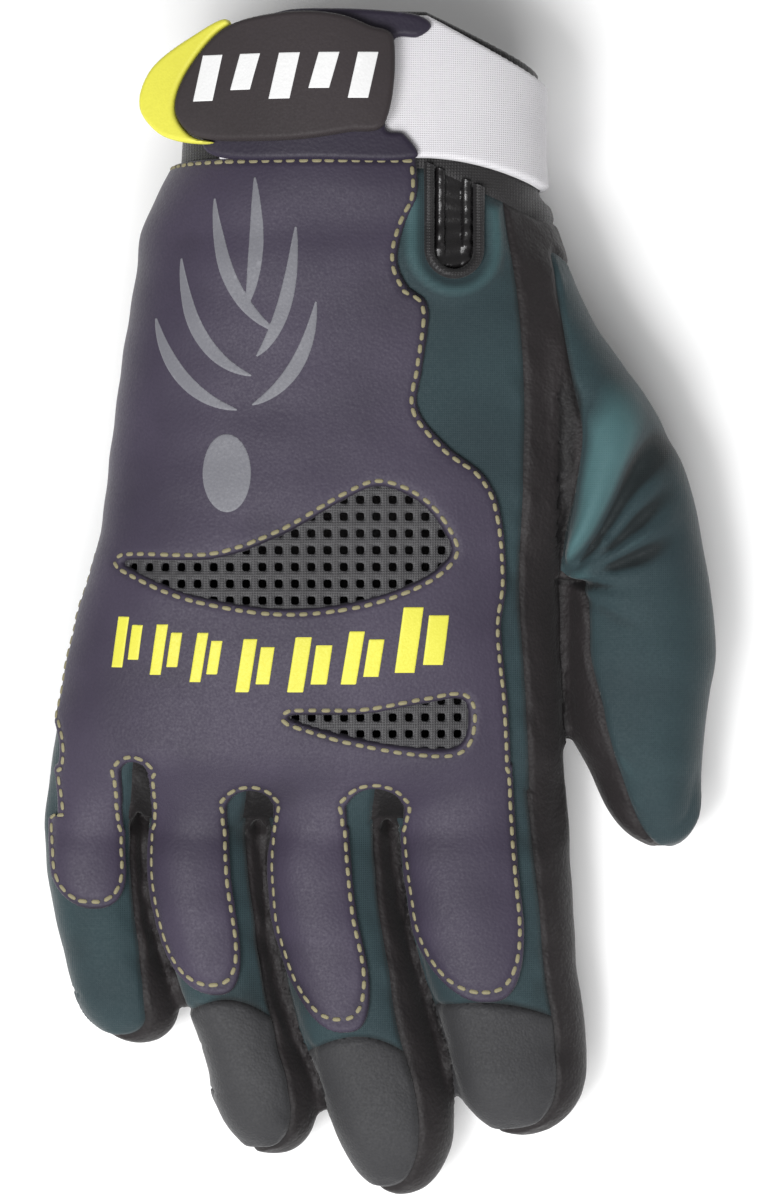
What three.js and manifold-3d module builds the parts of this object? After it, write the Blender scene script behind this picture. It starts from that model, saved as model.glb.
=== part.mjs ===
// A right-hand work glove with a padded palm, a stretch back, a stitched back overlay and a wrist strap.
// It lies palm down. X runs across the hand to the thumb side, Y from the fingertips to the cuff and
// Z up from the surface it lies on. Sizes are in millimetres.
import * as THREE from 'three';
import Module from 'manifold-3d';
import { mergeVertices } from 'three/addons/utils/BufferGeometryUtils.js';

// Hand
const PALM_WIDTH = 106; // across the knuckles
const PALM_LENGTH = 131; // finger crotches to cuff seam
const PALM_HEIGHT = 40; // surface to the top of the hand back
const WRIST_WIDTH = 74;
const WRIST_HEIGHT = 45;
const CUFF_LENGTH = 32; // cuff seam to mouth, along the back

// Digits, from the crotch line to the tip
const INDEX = { length: 70.3, width: 36, height: 27 };
const MIDDLE = { length: 82.7, width: 29, height: 27 };
const RING = { length: 74.5, width: 25, height: 26 };
const PINKY = { length: 50.8, width: 21.4, height: 23 };
const THUMB = { length: 56.5, width: 32.8, height: 30 };

// Walls
const BACK_WALL = 1.6;
const PALM_PAD = 3.2;
const CUFF_WALL = 2.4;
const OVERLAY_WALL = 1.7;
const VENT_WALL = 1;
const BINDING_WALL = 1.5;
const STRAP_WALL = 2;
const TAB_BASE_WALL = 1.5;
const TAB_PAD_WALL = 3;
const TAB_PULL_WALL = 2.2;
const CLEARANCE = 0.3; // between neighbouring pieces

// Details
const SEAM_HEIGHT = 9; // of the back's hidden outer seam over the surface
const TIP_MARGIN = 1.8; // palm material that shows at the fingertips
const TIP_POWER = 0.85; // under 1 for a blunter seam round the fingertips than an ellipse's
const TIP_FAR_POWER = 0.6; // the same on the side away from the seam
const TIP_FAR_REACH = 1.06; // of that side, past the half width
const VENT_LAP = 2.5; // of the vents over the cut edge of the back
const VENT_HOLE = 1.6;
const VENT_PITCH = 3.45;
const SLIT_WIDTH = 12;
const SLIT_LENGTH = 22.3;
const BINDING_WIDTH = 1.9;
const RIB_WIDTH = 2;
const STRAP_WIDTH = 28.9;
const TAB_LENGTH = 50; // thumb-side ears to the far end of the pull
const TAB_WIDTH = 30;

// Places, as shares of the palm's length and width from the origin under the palm
const CUFF_SEAM = 0.672;
const CROTCH = -0.328;
const THUMB_CROTCH = 0.03;
const FALL_START = 0.1; // of the wrist's slanting lines, as a share of its width

const DIGIT_SIDES = 12;
const LINING_SIDES = 8; // round the hollow of a digit
const PALM_SIDES = 20;
const REACH = 2 * (PALM_WIDTH + PALM_LENGTH); // past every piece

const across = (share) => share * PALM_WIDTH;
const along = (share) => share * PALM_LENGTH;

// Hand sections from the crotches to the cuff seam: edges as shares of the palm's width,
// top as a share of its height
const PALM_ROWS = [
  { y: -0.335, left: -0.682, right: 0.347, top: 0.68 },
  { y: -0.23, left: -0.665, right: 0.345, top: 0.83 },
  { y: -0.12, left: -0.637, right: 0.337, top: 0.9 },
  { y: -0.03, left: -0.605, right: 0.333, top: 0.95 },
  { y: 0.06, left: -0.57, right: 0.345, top: 0.98 },
  { y: 0.16, left: -0.55, right: 0.395, top: 1 },
  { y: 0.31, left: -0.525, right: 0.405, top: 1.02 },
  { y: 0.53, left: -0.485, right: 0.35, top: 1.1 },
];

// Wrist sections past the hand: y along the cuff from its seam, the rest as shares of the wrist's sizes
const WRIST_ROWS = [
  { y: -0.35, left: -0.681, right: 0.432, top: 0.97 },
  { y: -0.1, left: -0.622, right: 0.42, top: 1 },
  { y: 0.08, left: -0.588, right: 0.415, top: 1 },
  { y: 1.2, left: -0.582, right: 0.41, top: 1 },
];

// Digit sections: s along the digit from its crotch, x the drift of the axis, w the width, h the height,
// lift the clearance under it, all as shares of the digit's own sizes
const INDEX_ROWS = [
  { s: -0.25, x: -0.02, w: 0.9, h: 1.0, lift: 0 },
  { s: 0, x: 0.0, w: 1.0, h: 0.99, lift: 0 },
  { s: 0.17, x: 0.022, w: 1.0, h: 0.97, lift: 0.02 },
  { s: 0.47, x: 0.097, w: 0.92, h: 0.91, lift: 0.04 },
  { s: 0.64, x: 0.175, w: 0.858, h: 0.88, lift: 0.02 },
  { s: 0.77, x: 0.212, w: 0.81, h: 0.84, lift: 0 },
  { s: 1, x: 0.264, w: 0.8, h: 0.8, lift: 0 },
];
const MIDDLE_ROWS = [
  { s: -0.22, x: -0.01, w: 0.88, h: 1.0, lift: 0 },
  { s: 0, x: 0.0, w: 0.89, h: 1.0, lift: 0 },
  { s: 0.27, x: 0.055, w: 0.95, h: 0.95, lift: 0.04 },
  { s: 0.4, x: 0.14, w: 0.98, h: 0.92, lift: 0.05 },
  { s: 0.55, x: 0.25, w: 0.985, h: 0.89, lift: 0.04 },
  { s: 0.71, x: 0.405, w: 0.955, h: 0.85, lift: 0 },
  { s: 1, x: 0.53, w: 0.95, h: 0.8, lift: 0 },
];
const RING_ROWS = [
  { s: -0.22, x: 0.0, w: 0.97, h: 1.0, lift: 0 },
  { s: 0, x: 0.0, w: 0.98, h: 1.0, lift: 0 },
  { s: 0.23, x: 0.02, w: 0.98, h: 0.95, lift: 0.04 },
  { s: 0.5, x: 0.185, w: 0.88, h: 0.9, lift: 0.04 },
  { s: 0.68, x: 0.36, w: 0.83, h: 0.86, lift: 0.01 },
  { s: 0.78, x: 0.47, w: 0.87, h: 0.84, lift: 0 },
  { s: 1, x: 0.58, w: 0.9, h: 0.8, lift: 0 },
];
const PINKY_ROWS = [
  { s: -0.25, x: 0.06, w: 0.85, h: 1.0, lift: 0 },
  { s: 0, x: 0.0, w: 0.985, h: 1.0, lift: 0 },
  { s: 0.2, x: 0.0, w: 0.98, h: 0.97, lift: 0.03 },
  { s: 0.46, x: 0.075, w: 0.955, h: 0.92, lift: 0.04 },
  { s: 0.64, x: 0.17, w: 0.975, h: 0.88, lift: 0.02 },
  { s: 0.76, x: 0.28, w: 1.03, h: 0.85, lift: 0 },
  { s: 1, x: 0.43, w: 1.03, h: 0.8, lift: 0 },
];
const THUMB_ROWS = [
  { s: -1.4, x: -0.9, w: 0.7, h: 1.05, lift: 0 },
  { s: -1.1, x: -0.78, w: 0.81, h: 1.14, lift: 0 },
  { s: -0.8, x: -0.57, w: 0.97, h: 1.17, lift: 0 },
  { s: -0.5, x: -0.33, w: 1.2, h: 1.14, lift: 0 },
  { s: -0.36, x: -0.24, w: 1.2, h: 1.11, lift: 0 },
  { s: -0.14, x: -0.1, w: 1.05, h: 1.06, lift: 0 },
  { s: 0.02, x: 0.0, w: 0.965, h: 1.02, lift: 0 },
  { s: 0.27, x: 0.035, w: 1.0, h: 0.97, lift: 0 },
  { s: 0.45, x: 0.02, w: 0.92, h: 0.92, lift: 0 },
  { s: 0.57, x: 0.016, w: 0.86, h: 0.88, lift: 0 },
  { s: 0.74, x: 0.09, w: 0.67, h: 0.81, lift: 0 },
  { s: 1, x: 0.19, w: 0.55, h: 0.72, lift: 0 },
];

// The digits: root as shares of the palm, round the rounded share of the length, crest the sideways shift
// of the ridge as a share of the width
const DIGITS = {
  index: { ...INDEX, root: 0.183, start: CROTCH, round: 0.235, crest: -0.11, rows: INDEX_ROWS },
  middle: { ...MIDDLE, root: -0.12, start: CROTCH, round: 0.285, crest: -0.08, rows: MIDDLE_ROWS },
  ring: { ...RING, root: -0.3635, start: CROTCH, round: 0.2, crest: -0.07, rows: RING_ROWS },
  pinky: { ...PINKY, root: -0.587, start: CROTCH, round: 0.225, crest: -0.04, rows: PINKY_ROWS },
  thumb: { ...THUMB, root: 0.4865, start: THUMB_CROTCH, round: 0.19, crest: 0.03, rows: THUMB_ROWS },
};
const FINGERS = ['index', 'middle', 'ring', 'pinky'];

// The seam between each finger's back and its dark side wall, as shares of the half width
const SIDE_SEAMS = {
  index: [
    { s: -0.1, u: 0.53 }, { s: 0.2, u: 0.575 }, { s: 0.46, u: 0.57 }, { s: 0.75, u: 0.54 },
    { s: 1, u: 0.5 },
  ],
  middle: [
    { s: -0.1, u: 0.72 }, { s: 0.26, u: 0.67 }, { s: 0.5, u: 0.53 }, { s: 0.7, u: 0.43 },
    { s: 1, u: 0.45 },
  ],
  ring: [
    { s: -0.1, u: 0.69 }, { s: 0.25, u: 0.73 }, { s: 0.55, u: 0.71 }, { s: 0.8, u: 0.46 },
    { s: 1, u: 0.5 },
  ],
  pinky: [
    { s: -0.15, u: 0.76 }, { s: 0.2, u: 0.76 }, { s: 0.6, u: 0.64 }, { s: 0.78, u: 0.38 },
    { s: 1, u: 0.2 },
  ],
};

// The overlay's finger lobes: edges as shares of the half width, from where the round end starts to its end
const LOBES = {
  index: { left: -0.93, right: 0.36, round: 0.28, end: 0.582 },
  middle: { left: -0.92, right: 0.3, round: 0.3, end: 0.57 },
  ring: { left: -0.92, right: 0.4, round: 0.33, end: 0.53 },
  pinky: { left: -0.8, right: 0.62, round: 0.22, end: 0.425 },
};

const LOBE_FULLNESS = 0.8; // under 1 for a blunter end than an ellipse's

// Round-topped notches between neighbouring lobes: y of their tops as a share of the palm's length
const NOTCHES = [
  { outer: 'pinky', inner: 'ring', top: -0.253 },
  { outer: 'ring', inner: 'middle', top: -0.3 },
  { outer: 'middle', inner: 'index', top: -0.296 },
];
const NOTCH_RISE = 0.6; // height of a notch's round top as a share of its half width

// The fingertip caps: s of the seam's highest point, u its place across, drop its fall to half a width away
const CAPS = {
  index: { s: 0.585, u: -0.37, drop: 0.06 },
  middle: { s: 0.583, u: -0.15, drop: 0.085 },
  ring: { s: 0.545, u: -0.1, drop: 0.085 },
};

const CAP_REACH = 1.4; // of the seam to either side, in half widths

// Lines on the hand back as shares of the palm's width and length
const STRIP_EDGE = [
  { x: 0.212, y: 0.69 }, { x: 0.226, y: 0.595 }, { x: 0.25, y: 0.47 }, { x: 0.262, y: 0.32 },
  { x: 0.26, y: 0.19 }, { x: 0.255, y: 0.03 }, { x: 0.268, y: -0.15 }, { x: 0.278, y: -0.32 },
];
const THUMB_EDGE = [
  { x: 0.302, y: 0.61 }, { x: 0.324, y: 0.51 }, { x: 0.353, y: 0.357 }, { x: 0.374, y: 0.267 },
  { x: 0.364, y: 0.19 }, { x: 0.344, y: 0.11 }, { x: 0.3355, y: THUMB_CROTCH },
];
const THUMB_SEAM = [
  { s: -0.08, u: -1.05 }, { s: 0.04, u: -0.74 }, { s: 0.3, u: -0.67 }, { s: 0.56, u: -0.47 },
  { s: 0.72, u: -0.53 }, { s: 0.86, u: -0.5 }, { s: 1, u: -0.5 },
];
const OVERLAY_EDGE = [
  { x: 0.05, y: 0.69 }, { x: 0.052, y: 0.631 }, { x: 0.029, y: 0.585 }, { x: 0.015, y: 0.529 },
  { x: 0.035, y: 0.489 }, { x: 0.067, y: 0.469 }, { x: 0.075, y: 0.439 }, { x: 0.062, y: 0.359 },
  { x: 0.055, y: 0.298 }, { x: 0.111, y: 0.241 }, { x: 0.179, y: 0.198 }, { x: 0.212, y: 0.145 },
  { x: 0.225, y: 0.033 }, { x: 0.216, y: -0.044 }, { x: 0.228, y: -0.153 }, { x: 0.241, y: -0.33 },
];
const OVERLAY_SIDE = [
  { x: -0.665, y: -0.32 }, { x: -0.645, y: -0.255 }, { x: -0.645, y: -0.222 }, { x: -0.656, y: -0.19 },
  { x: -0.7, y: -0.13 },
];
const LARGE_WINDOW = [
  { x: -0.51, y: 0.061 }, { x: -0.34, y: 0.064 }, { x: -0.208, y: 0.101 }, { x: -0.082, y: 0.159 },
  { x: -0.017, y: 0.177 }, { x: 0.063, y: 0.148 }, { x: 0.114, y: 0.09 }, { x: 0.106, y: 0.062 },
  { x: 0.045, y: 0.028 },
  { x: -0.071, y: -0.002 }, { x: -0.217, y: -0.012 }, { x: -0.377, y: 0.008 }, { x: -0.475, y: 0.039 },
];
const SMALL_WINDOW = [
  { x: -0.194, y: -0.182 }, { x: -0.057, y: -0.18 }, { x: 0.066, y: -0.163 }, { x: 0.14, y: -0.157 },
  { x: 0.149, y: -0.2 }, { x: 0.127, y: -0.229 }, { x: 0.047, y: -0.23 }, { x: -0.075, y: -0.214 },
  { x: -0.151, y: -0.197 },
];

// The strap end: x from its thumb-side edge as shares of the tab's length, y from its middle as shares of
// the tab's width
const TAB_EDGE = 0.078; // of the tab's thumb-side edge, as a share of the palm's width
const TAB_BASE_OUTLINE = [
  { x: -0.12, y: 0.495 }, { x: -0.03, y: 0.46 }, { x: 0, y: 0.4 }, { x: -0.05, y: 0.33 },
  { x: -0.155, y: 0.29 }, { x: -0.185, y: -0.28 }, { x: -0.11, y: -0.33 }, { x: -0.065, y: -0.49 },
  { x: -0.45, y: -0.5 }, { x: -0.86, y: -0.47 }, { x: -0.93, y: -0.3 }, { x: -0.8, y: 0.35 },
  { x: -0.62, y: 0.5 }, { x: -0.4, y: 0.52 },
];
const TAB_PAD_OUTLINE = [
  { x: -0.153, y: 0.3 }, { x: -0.25, y: 0.39 }, { x: -0.37, y: 0.465 }, { x: -0.53, y: 0.49 },
  { x: -0.73, y: 0.45 }, { x: -0.84, y: 0.375 }, { x: -0.937, y: 0.21 }, { x: -1.011, y: 0.01 },
  { x: -1.03, y: -0.165 }, { x: -0.975, y: -0.31 }, { x: -0.89, y: -0.36 }, { x: -0.73, y: -0.375 },
  { x: -0.53, y: -0.37 }, { x: -0.335, y: -0.325 }, { x: -0.187, y: -0.265 },
];
const TAB_PULL_OUTLINE = [
  { x: -0.82, y: 0.45 }, { x: -0.97, y: 0.34 }, { x: -1.12, y: 0.16 }, { x: -1.18, y: -0.03 },
  { x: -1.17, y: -0.18 }, { x: -1.08, y: -0.33 }, { x: -0.93, y: -0.385 }, { x: -0.87, y: -0.35 },
  { x: -0.93, y: -0.1 }, { x: -0.83, y: 0.2 },
];

const wasm = await Module();
wasm.setup();

function toSolid(geometry) {
  const bare = geometry.clone();
  bare.deleteAttribute('normal');
  bare.deleteAttribute('uv');
  const merged = mergeVertices(bare, 1e-5);
  return new wasm.Manifold(new wasm.Mesh({
    numProp: 3,
    vertProperties: new Float32Array(merged.attributes.position.array),
    triVerts: new Uint32Array(merged.index.array),
  }));
}

function toGeometry(solid) {
  const mesh = solid.getMesh();
  const geometry = new THREE.BufferGeometry();
  geometry.setAttribute('position', new THREE.BufferAttribute(new Float32Array(mesh.vertProperties), 3));
  geometry.setIndex(new THREE.BufferAttribute(new Uint32Array(mesh.triVerts), 1));
  geometry.computeVertexNormals();
  return geometry;
}

// Smooth value of one column of a table at a place along it
function column(rows, place, key, name) {
  const last = rows.length - 1;
  let i = rows.findIndex((row) => row[place.key] > place.value) - 1;
  if (i < 0) i = rows[0][place.key] > place.value ? 0 : last - 1;
  const at = (n) => rows[Math.min(Math.max(n, 0), last)];
  const slope = (n) => {
    const before = at(n - 1);
    const after = at(n + 1);
    return (after[name] - before[name]) / (after[place.key] - before[place.key]);
  };
  const from = at(i);
  const to = at(i + 1);
  const span = to[place.key] - from[place.key];
  const t = Math.min(Math.max((place.value - from[place.key]) / span, 0), 1);
  const eased = 3 * t ** 2 - 2 * t ** 3;
  return from[name] + (to[name] - from[name]) * eased
    + span * (slope(i) * (t ** 3 - 2 * t ** 2 + t) + slope(i + 1) * (t ** 3 - t ** 2));
}

const tableValue = (rows, s, name) => column(rows, { key: 's', value: s }, 's', name);

// Outline of one section: a squared oval, flattened where it would pass under its floor
function sectionRing(section, offset, floorOffset, sides) {
  const points = [];
  for (let k = 0; k < sides; k += 1) {
    const angle = (2 * Math.PI * k) / sides;
    const c = Math.cos(angle);
    const s = Math.sin(angle);
    const squareX = Math.sign(c) * Math.abs(c) ** (2 / section.squareness);
    const squareZ = Math.sign(s) * Math.abs(s) ** (2 / section.squareness);
    const reach = s > 0 ? section.up + offset : section.down + offset;
    const skew = s > 0 ? section.crest * s ** 2 : 0;
    const x = section.x + (section.half + offset) * squareX + skew;
    const z = Math.max(section.z + reach * squareZ, section.floor - floorOffset);
    points.push(new THREE.Vector3(x, section.y, z));
  }
  return points;
}

// Closed solid through a list of rings, with its ends closed by fans
function loft(rings) {
  const sides = rings[0].length;
  const points = rings.flat();
  const indices = [];
  for (let r = 0; r + 1 < rings.length; r += 1) {
    for (let k = 0; k < sides; k += 1) {
      const a = r * sides + k;
      const b = r * sides + ((k + 1) % sides);
      indices.push(a, a + sides, b, b, a + sides, b + sides);
    }
  }
  [0, rings.length - 1].forEach((r) => {
    const centre = new THREE.Vector3();
    rings[r].forEach((point) => centre.addScaledVector(point, 1 / sides));
    const hub = points.length;
    points.push(centre);
    for (let k = 0; k < sides; k += 1) {
      const a = r * sides + k;
      const b = r * sides + ((k + 1) % sides);
      indices.push(...(r === 0 ? [hub, a, b] : [hub, b, a]));
    }
  });
  const geometry = new THREE.BufferGeometry().setFromPoints(points);
  geometry.setIndex(indices);
  return toSolid(geometry);
}

// Wide part of the glove: hand and wrist in one run, from the crotches to past the cuff's mouth
const WRIST_FLOOR = STRAP_WALL + CLEARANCE;
function handSections() {
  const widest = 0.45; // height of the widest line as a share of the top
  const flat = 1.12; // underside depth before it is flattened
  const palm = PALM_ROWS.map((row) => ({
    y: along(row.y),
    left: across(row.left),
    right: across(row.right),
    top: row.top * PALM_HEIGHT,
    floor: 0,
    squareness: 2.5,
  }));
  const wrist = WRIST_ROWS.map((row) => ({
    y: along(CUFF_SEAM) + row.y * CUFF_LENGTH,
    left: row.left * WRIST_WIDTH,
    right: row.right * WRIST_WIDTH,
    top: row.top * WRIST_HEIGHT,
    floor: WRIST_FLOOR,
    squareness: 2.3,
  }));
  return [...palm, ...wrist].map((row) => ({
    ...row,
    x: (row.left + row.right) / 2,
    half: (row.right - row.left) / 2,
    z: row.floor + widest * (row.top - row.floor),
    up: (1 - widest) * (row.top - row.floor),
    down: flat * widest * (row.top - row.floor),
    crest: 0,
  }));
}

function handLoft(offset, floorOffset) {
  const sections = handSections();
  const rings = sections.map((section, i) => {
    const end = i === 0 ? -offset : 0;
    return sectionRing({ ...section, y: section.y + end }, offset, floorOffset, PALM_SIDES);
  });
  return loft(rings);
}

// Section of a digit at s; shrink is the fall of its sizes over the rounded tip
function digitSection(digit, s, y, shrink) {
  const belly = 0.46;
  const flat = 1.12;
  const height = tableValue(digit.rows, s, 'h') * digit.height;
  const floor = Math.max(tableValue(digit.rows, s, 'lift'), 0) * digit.height;
  return {
    y,
    x: across(digit.root) + tableValue(digit.rows, s, 'x') * digit.width,
    half: (tableValue(digit.rows, s, 'w') * digit.width * shrink) / 2,
    z: floor + belly * height,
    up: (1 - belly) * height * shrink,
    down: flat * belly * height * shrink,
    crest: digit.crest * digit.width * shrink,
    floor,
    squareness: 2.25,
  };
}

const digitY = (digit, s) => along(digit.start) - s * digit.length;

function digitLoft(digit, offset, floorOffset = offset, sides = DIGIT_SIDES) {
  const tipSteps = 4;
  const roundStart = 1 - digit.round;
  const places = digit.rows.map((row) => row.s).filter((s) => s < roundStart - 0.03);
  const rings = [...places, roundStart].map((s) => (
    sectionRing(digitSection(digit, s, digitY(digit, s), 1), offset, floorOffset, sides)
  ));
  for (let k = 1; k <= tipSteps; k += 1) {
    const angle = (Math.PI / 2) * (k / (tipSteps + 0.3));
    const reach = digit.round * digit.length + offset;
    const y = digitY(digit, roundStart) - reach * Math.sin(angle);
    const s = roundStart + digit.round * Math.sin(angle);
    const section = digitSection(digit, s, y, Math.cos(angle));
    rings.push(sectionRing(section, offset * Math.cos(angle), floorOffset, sides));
  }
  return loft(rings.reverse());
}

// The whole glove's surface, moved out by offset
function skin(offset, floorOffset = offset, digitSides = DIGIT_SIDES) {
  return Object.values(DIGITS).reduce(
    (body, digit) => body.add(digitLoft(digit, offset, floorOffset, digitSides)),
    handLoft(offset, floorOffset),
  );
}

// Solid over an outline in plan, from one height to another
function prism(outline, low = -REACH, high = REACH) {
  const shape = new THREE.Shape(outline.map((point) => new THREE.Vector2(point.x, point.y)));
  const geometry = new THREE.ExtrudeGeometry(shape, { depth: high - low, bevelEnabled: false });
  geometry.translate(0, 0, low);
  return toSolid(geometry);
}

const palmPoint = (share) => new THREE.Vector3(across(share.x), along(share.y), 0);

function smooth(points, closed, steps) {
  return new THREE.CatmullRomCurve3(points, closed, 'centripetal').getPoints(steps);
}

function closedOutline(shares, toPoint, steps) {
  return smooth(shares.map(toPoint), true, steps).slice(0, -1);
}

// Outline moved out by a distance, or in where it is negative, for either turning direction; what would
// fold over itself at a narrow end is left out
function grown(outline, distance) {
  const turn = Math.sign(THREE.ShapeUtils.area(outline));
  const normal = (from, to) => new THREE.Vector3(to.y - from.y, from.x - to.x, 0).normalize();
  const moved = outline.map((point, i) => {
    const before = normal(outline[(i + outline.length - 1) % outline.length], point);
    const after = normal(point, outline[(i + 1) % outline.length]);
    const mitre = (turn * distance) / Math.max(1 + before.dot(after), 0.5);
    return point.clone().addScaledVector(before.add(after), mitre);
  });
  const nearest = new THREE.Vector3();
  const far = 0.97 * Math.abs(distance);
  return moved.filter((point) => outline.every((from, i) => {
    const side = new THREE.Line3(from, outline[(i + 1) % outline.length]);
    return side.closestPointToPoint(point, true, nearest).distanceTo(point) > far;
  }));
}

// Place on a digit in plan: s along it, u across it as a share of the half width, extra past the edge
function digitPoint(digit, s, u, extra = 0) {
  const roundStart = 1 - digit.round;
  const over = Math.min(Math.max((s - roundStart) / digit.round, 0), 1);
  const section = digitSection(digit, s, digitY(digit, s), Math.sqrt(1 - over ** 2));
  return new THREE.Vector3(section.x + u * section.half + extra, section.y, 0);
}

const crotchEndY = () => along(PALM_ROWS[0].y) - CLEARANCE;

// Plan of a finger's back: from past its outer side to the seam with its dark side wall. Its root keeps to
// the finger's own width, where the hand's walls are the fingers' too.
function fingerPlan(name, gap) {
  const digit = DIGITS[name];
  const root = -0.1;
  const roundStart = 1 - digit.round;
  const web = (along(CROTCH) - crotchEndY()) / digit.length;
  const past = -digit.width / 2;
  const rootPast = name === FINGERS.at(-1) ? past : 0;
  const plan = [
    digitPoint(digit, root, -1, rootPast),
    digitPoint(digit, web, -1, rootPast),
    digitPoint(digit, web, -1, past),
    digitPoint(digit, roundStart, -1, past),
  ];
  const seamU = (s) => tableValue(SIDE_SEAMS[name], s, 'u');
  const seam = seamU(roundStart);
  const reach = digit.round - (TIP_MARGIN - gap) / digit.length;
  const tipSteps = 7;
  for (let k = 0; k < tipSteps; k += 1) {
    const angle = (Math.PI * k) / tipSteps;
    const far = 2 * k < tipSteps;
    const power = far ? TIP_FAR_POWER : TIP_POWER;
    const side = (far ? -TIP_FAR_REACH : 1) * Math.abs(Math.cos(angle)) ** power;
    const s = roundStart + reach * Math.sin(angle) ** power;
    const section = digitSection(digit, s, digitY(digit, s), 1);
    const u = (seam - 1 + (seam + 1) * side) / 2;
    plan.push(new THREE.Vector3(section.x + section.half * u + gap * side, section.y, 0));
  }
  const steps = 4;
  for (let k = steps; k >= 0; k -= 1) {
    const s = root + ((roundStart - root) * k) / steps;
    plan.push(digitPoint(digit, s, seamU(s), gap));
  }
  return plan;
}

// Plan of the hand back: everything outward of the strip up the index side
function handPlan(gap) {
  const strip = smooth(STRIP_EDGE.map(palmPoint), false, 7);
  strip.forEach((point) => point.setX(point.x + gap));
  const low = along(CROTCH + 0.025) - gap;
  const edge = strip.filter((point) => point.y > low);
  const corner = new THREE.Vector3(edge[edge.length - 1].x, low, 0);
  return [
    new THREE.Vector3(edge[0].x, REACH / 2, 0),
    ...edge,
    corner,
    new THREE.Vector3(-REACH / 2, low, 0),
    new THREE.Vector3(-REACH / 2, REACH / 2, 0),
  ];
}

// Room that one digit's walls lie in, clear of its neighbours'
const digitRoom = (name) => digitLoft(DIGITS[name], 0.7 * CLEARANCE);

const slab = (low, high) => {
  const box = new THREE.BoxGeometry(REACH, high - low, REACH);
  return toSolid(box.translate(0, (low + high) / 2, 0));
};

function fingerZone(name, gap) {
  const webs = slab(crotchEndY(), REACH / 2);
  return prism(fingerPlan(name, gap), SEAM_HEIGHT - gap).intersect(digitRoom(name).add(webs));
}

// Everything of the back over its hidden outer seam
function backZone(gap) {
  return FINGERS.reduce(
    (zone, name) => zone.add(fingerZone(name, gap)),
    prism(handPlan(gap), SEAM_HEIGHT - gap),
  );
}

function capZone(name, gap) {
  const digit = DIGITS[name];
  const cap = CAPS[name];
  const peak = digitPoint(digit, cap.s, cap.u);
  const arc = [];
  const steps = 3;
  for (let k = -steps; k <= steps; k += 1) {
    const side = (CAP_REACH * k) / steps;
    const x = peak.x + (side * digit.width) / 2;
    const y = peak.y + gap - cap.drop * digit.length * side ** 2;
    arc.push(new THREE.Vector3(x, y, 0));
  }
  const below = digitY(digit, 1.3);
  return prism([
    ...arc,
    new THREE.Vector3(arc[arc.length - 1].x, below, 0),
    new THREE.Vector3(arc[0].x, below, 0),
  ], SEAM_HEIGHT - gap).intersect(digitRoom(name));
}

const thumbEdge = () => smooth(THUMB_EDGE.map(palmPoint), false, 9);

// Everything on the thumb's side of the seam round its root
function thumbZone(gap) {
  const edge = thumbEdge();
  edge.forEach((point) => point.setX(point.x - gap));
  const crotch = edge[edge.length - 1];
  const top = edge[0].y + gap;
  const root = prism([
    ...edge,
    new THREE.Vector3(REACH / 2, crotch.y, 0),
    new THREE.Vector3(REACH / 2, top, 0),
    new THREE.Vector3(edge[0].x, top, 0),
  ]);
  return root.add(slab(crotch.y - REACH, crotch.y).intersect(digitRoom('thumb')));
}

function thumbBackZone(gap) {
  const thumb = DIGITS.thumb;
  const seam = [];
  for (let k = 0; k <= 12; k += 1) {
    const s = THUMB_SEAM[0].s + 1.07 * Math.sin((Math.PI / 2) * (k / 12));
    seam.push(digitPoint(thumb, s, tableValue(THUMB_SEAM, s, 'u'), -gap));
  }
  const tip = seam[seam.length - 1];
  return prism([
    new THREE.Vector3(0, REACH / 2, 0),
    new THREE.Vector3(0, seam[0].y, 0),
    ...seam,
    new THREE.Vector3(tip.x, -REACH / 2, 0),
    new THREE.Vector3(REACH / 2, -REACH / 2, 0),
    new THREE.Vector3(REACH / 2, REACH / 2, 0),
  ], SEAM_HEIGHT - gap);
}

// A line across the wrist in plan: straight over the back, then falling towards the fingers by its fall
// at the thumb side, and by its far fall at the other
function wristLine(y, fallSize, power, farFall = 0) {
  const start = FALL_START * WRIST_WIDTH;
  const end = WRIST_ROWS.at(-1).right * WRIST_WIDTH;
  const farEnd = WRIST_ROWS.at(-1).left * WRIST_WIDTH;
  const line = [
    new THREE.Vector3(-REACH / 2, y - farFall, 0),
    new THREE.Vector3(farEnd, y - farFall, 0),
    new THREE.Vector3(0.7 * farEnd, y - 0.3 * farFall, 0),
    new THREE.Vector3(0.4 * farEnd, y, 0),
    new THREE.Vector3(start, y, 0),
  ];
  const steps = 5;
  for (let k = 1; k <= steps; k += 1) {
    line.push(new THREE.Vector3(start + ((end - start) * k) / steps, y - fallSize * (k / steps) ** power, 0));
  }
  line.push(new THREE.Vector3(REACH / 2, y - fallSize, 0));
  return line;
}

const wristBand = (low, high) => prism([...low, ...high.reverse()]);

const cuffSeamY = along(CUFF_SEAM);
const mouthY = cuffSeamY + CUFF_LENGTH;
const strapLowY = cuffSeamY + STRAP_WALL;
const CUFF_FALL = 0.28 * CUFF_LENGTH;
const STRAP_FALL = 0.145 * CUFF_LENGTH;
const MOUTH_FALL = 0.31 * CUFF_LENGTH;
const FAR_FALL = 0.2 * CUFF_LENGTH;

const farLine = () => wristLine(REACH / 2, 0, 1);
const cuffZone = (gap) => wristBand(wristLine(cuffSeamY - gap, CUFF_FALL, 1), farLine());
const mouthZone = () => wristBand(wristLine(mouthY, MOUTH_FALL, 1, FAR_FALL), farLine());
const strapLine = (gap) => wristLine(strapLowY - gap, STRAP_FALL, 1.8);

// The glove's wall, with the hollow for the hand open at the cuff's mouth
const outer = skin(0);
const shell = outer.subtract(skin(-BACK_WALL, -PALM_PAD, LINING_SIDES));

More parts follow.
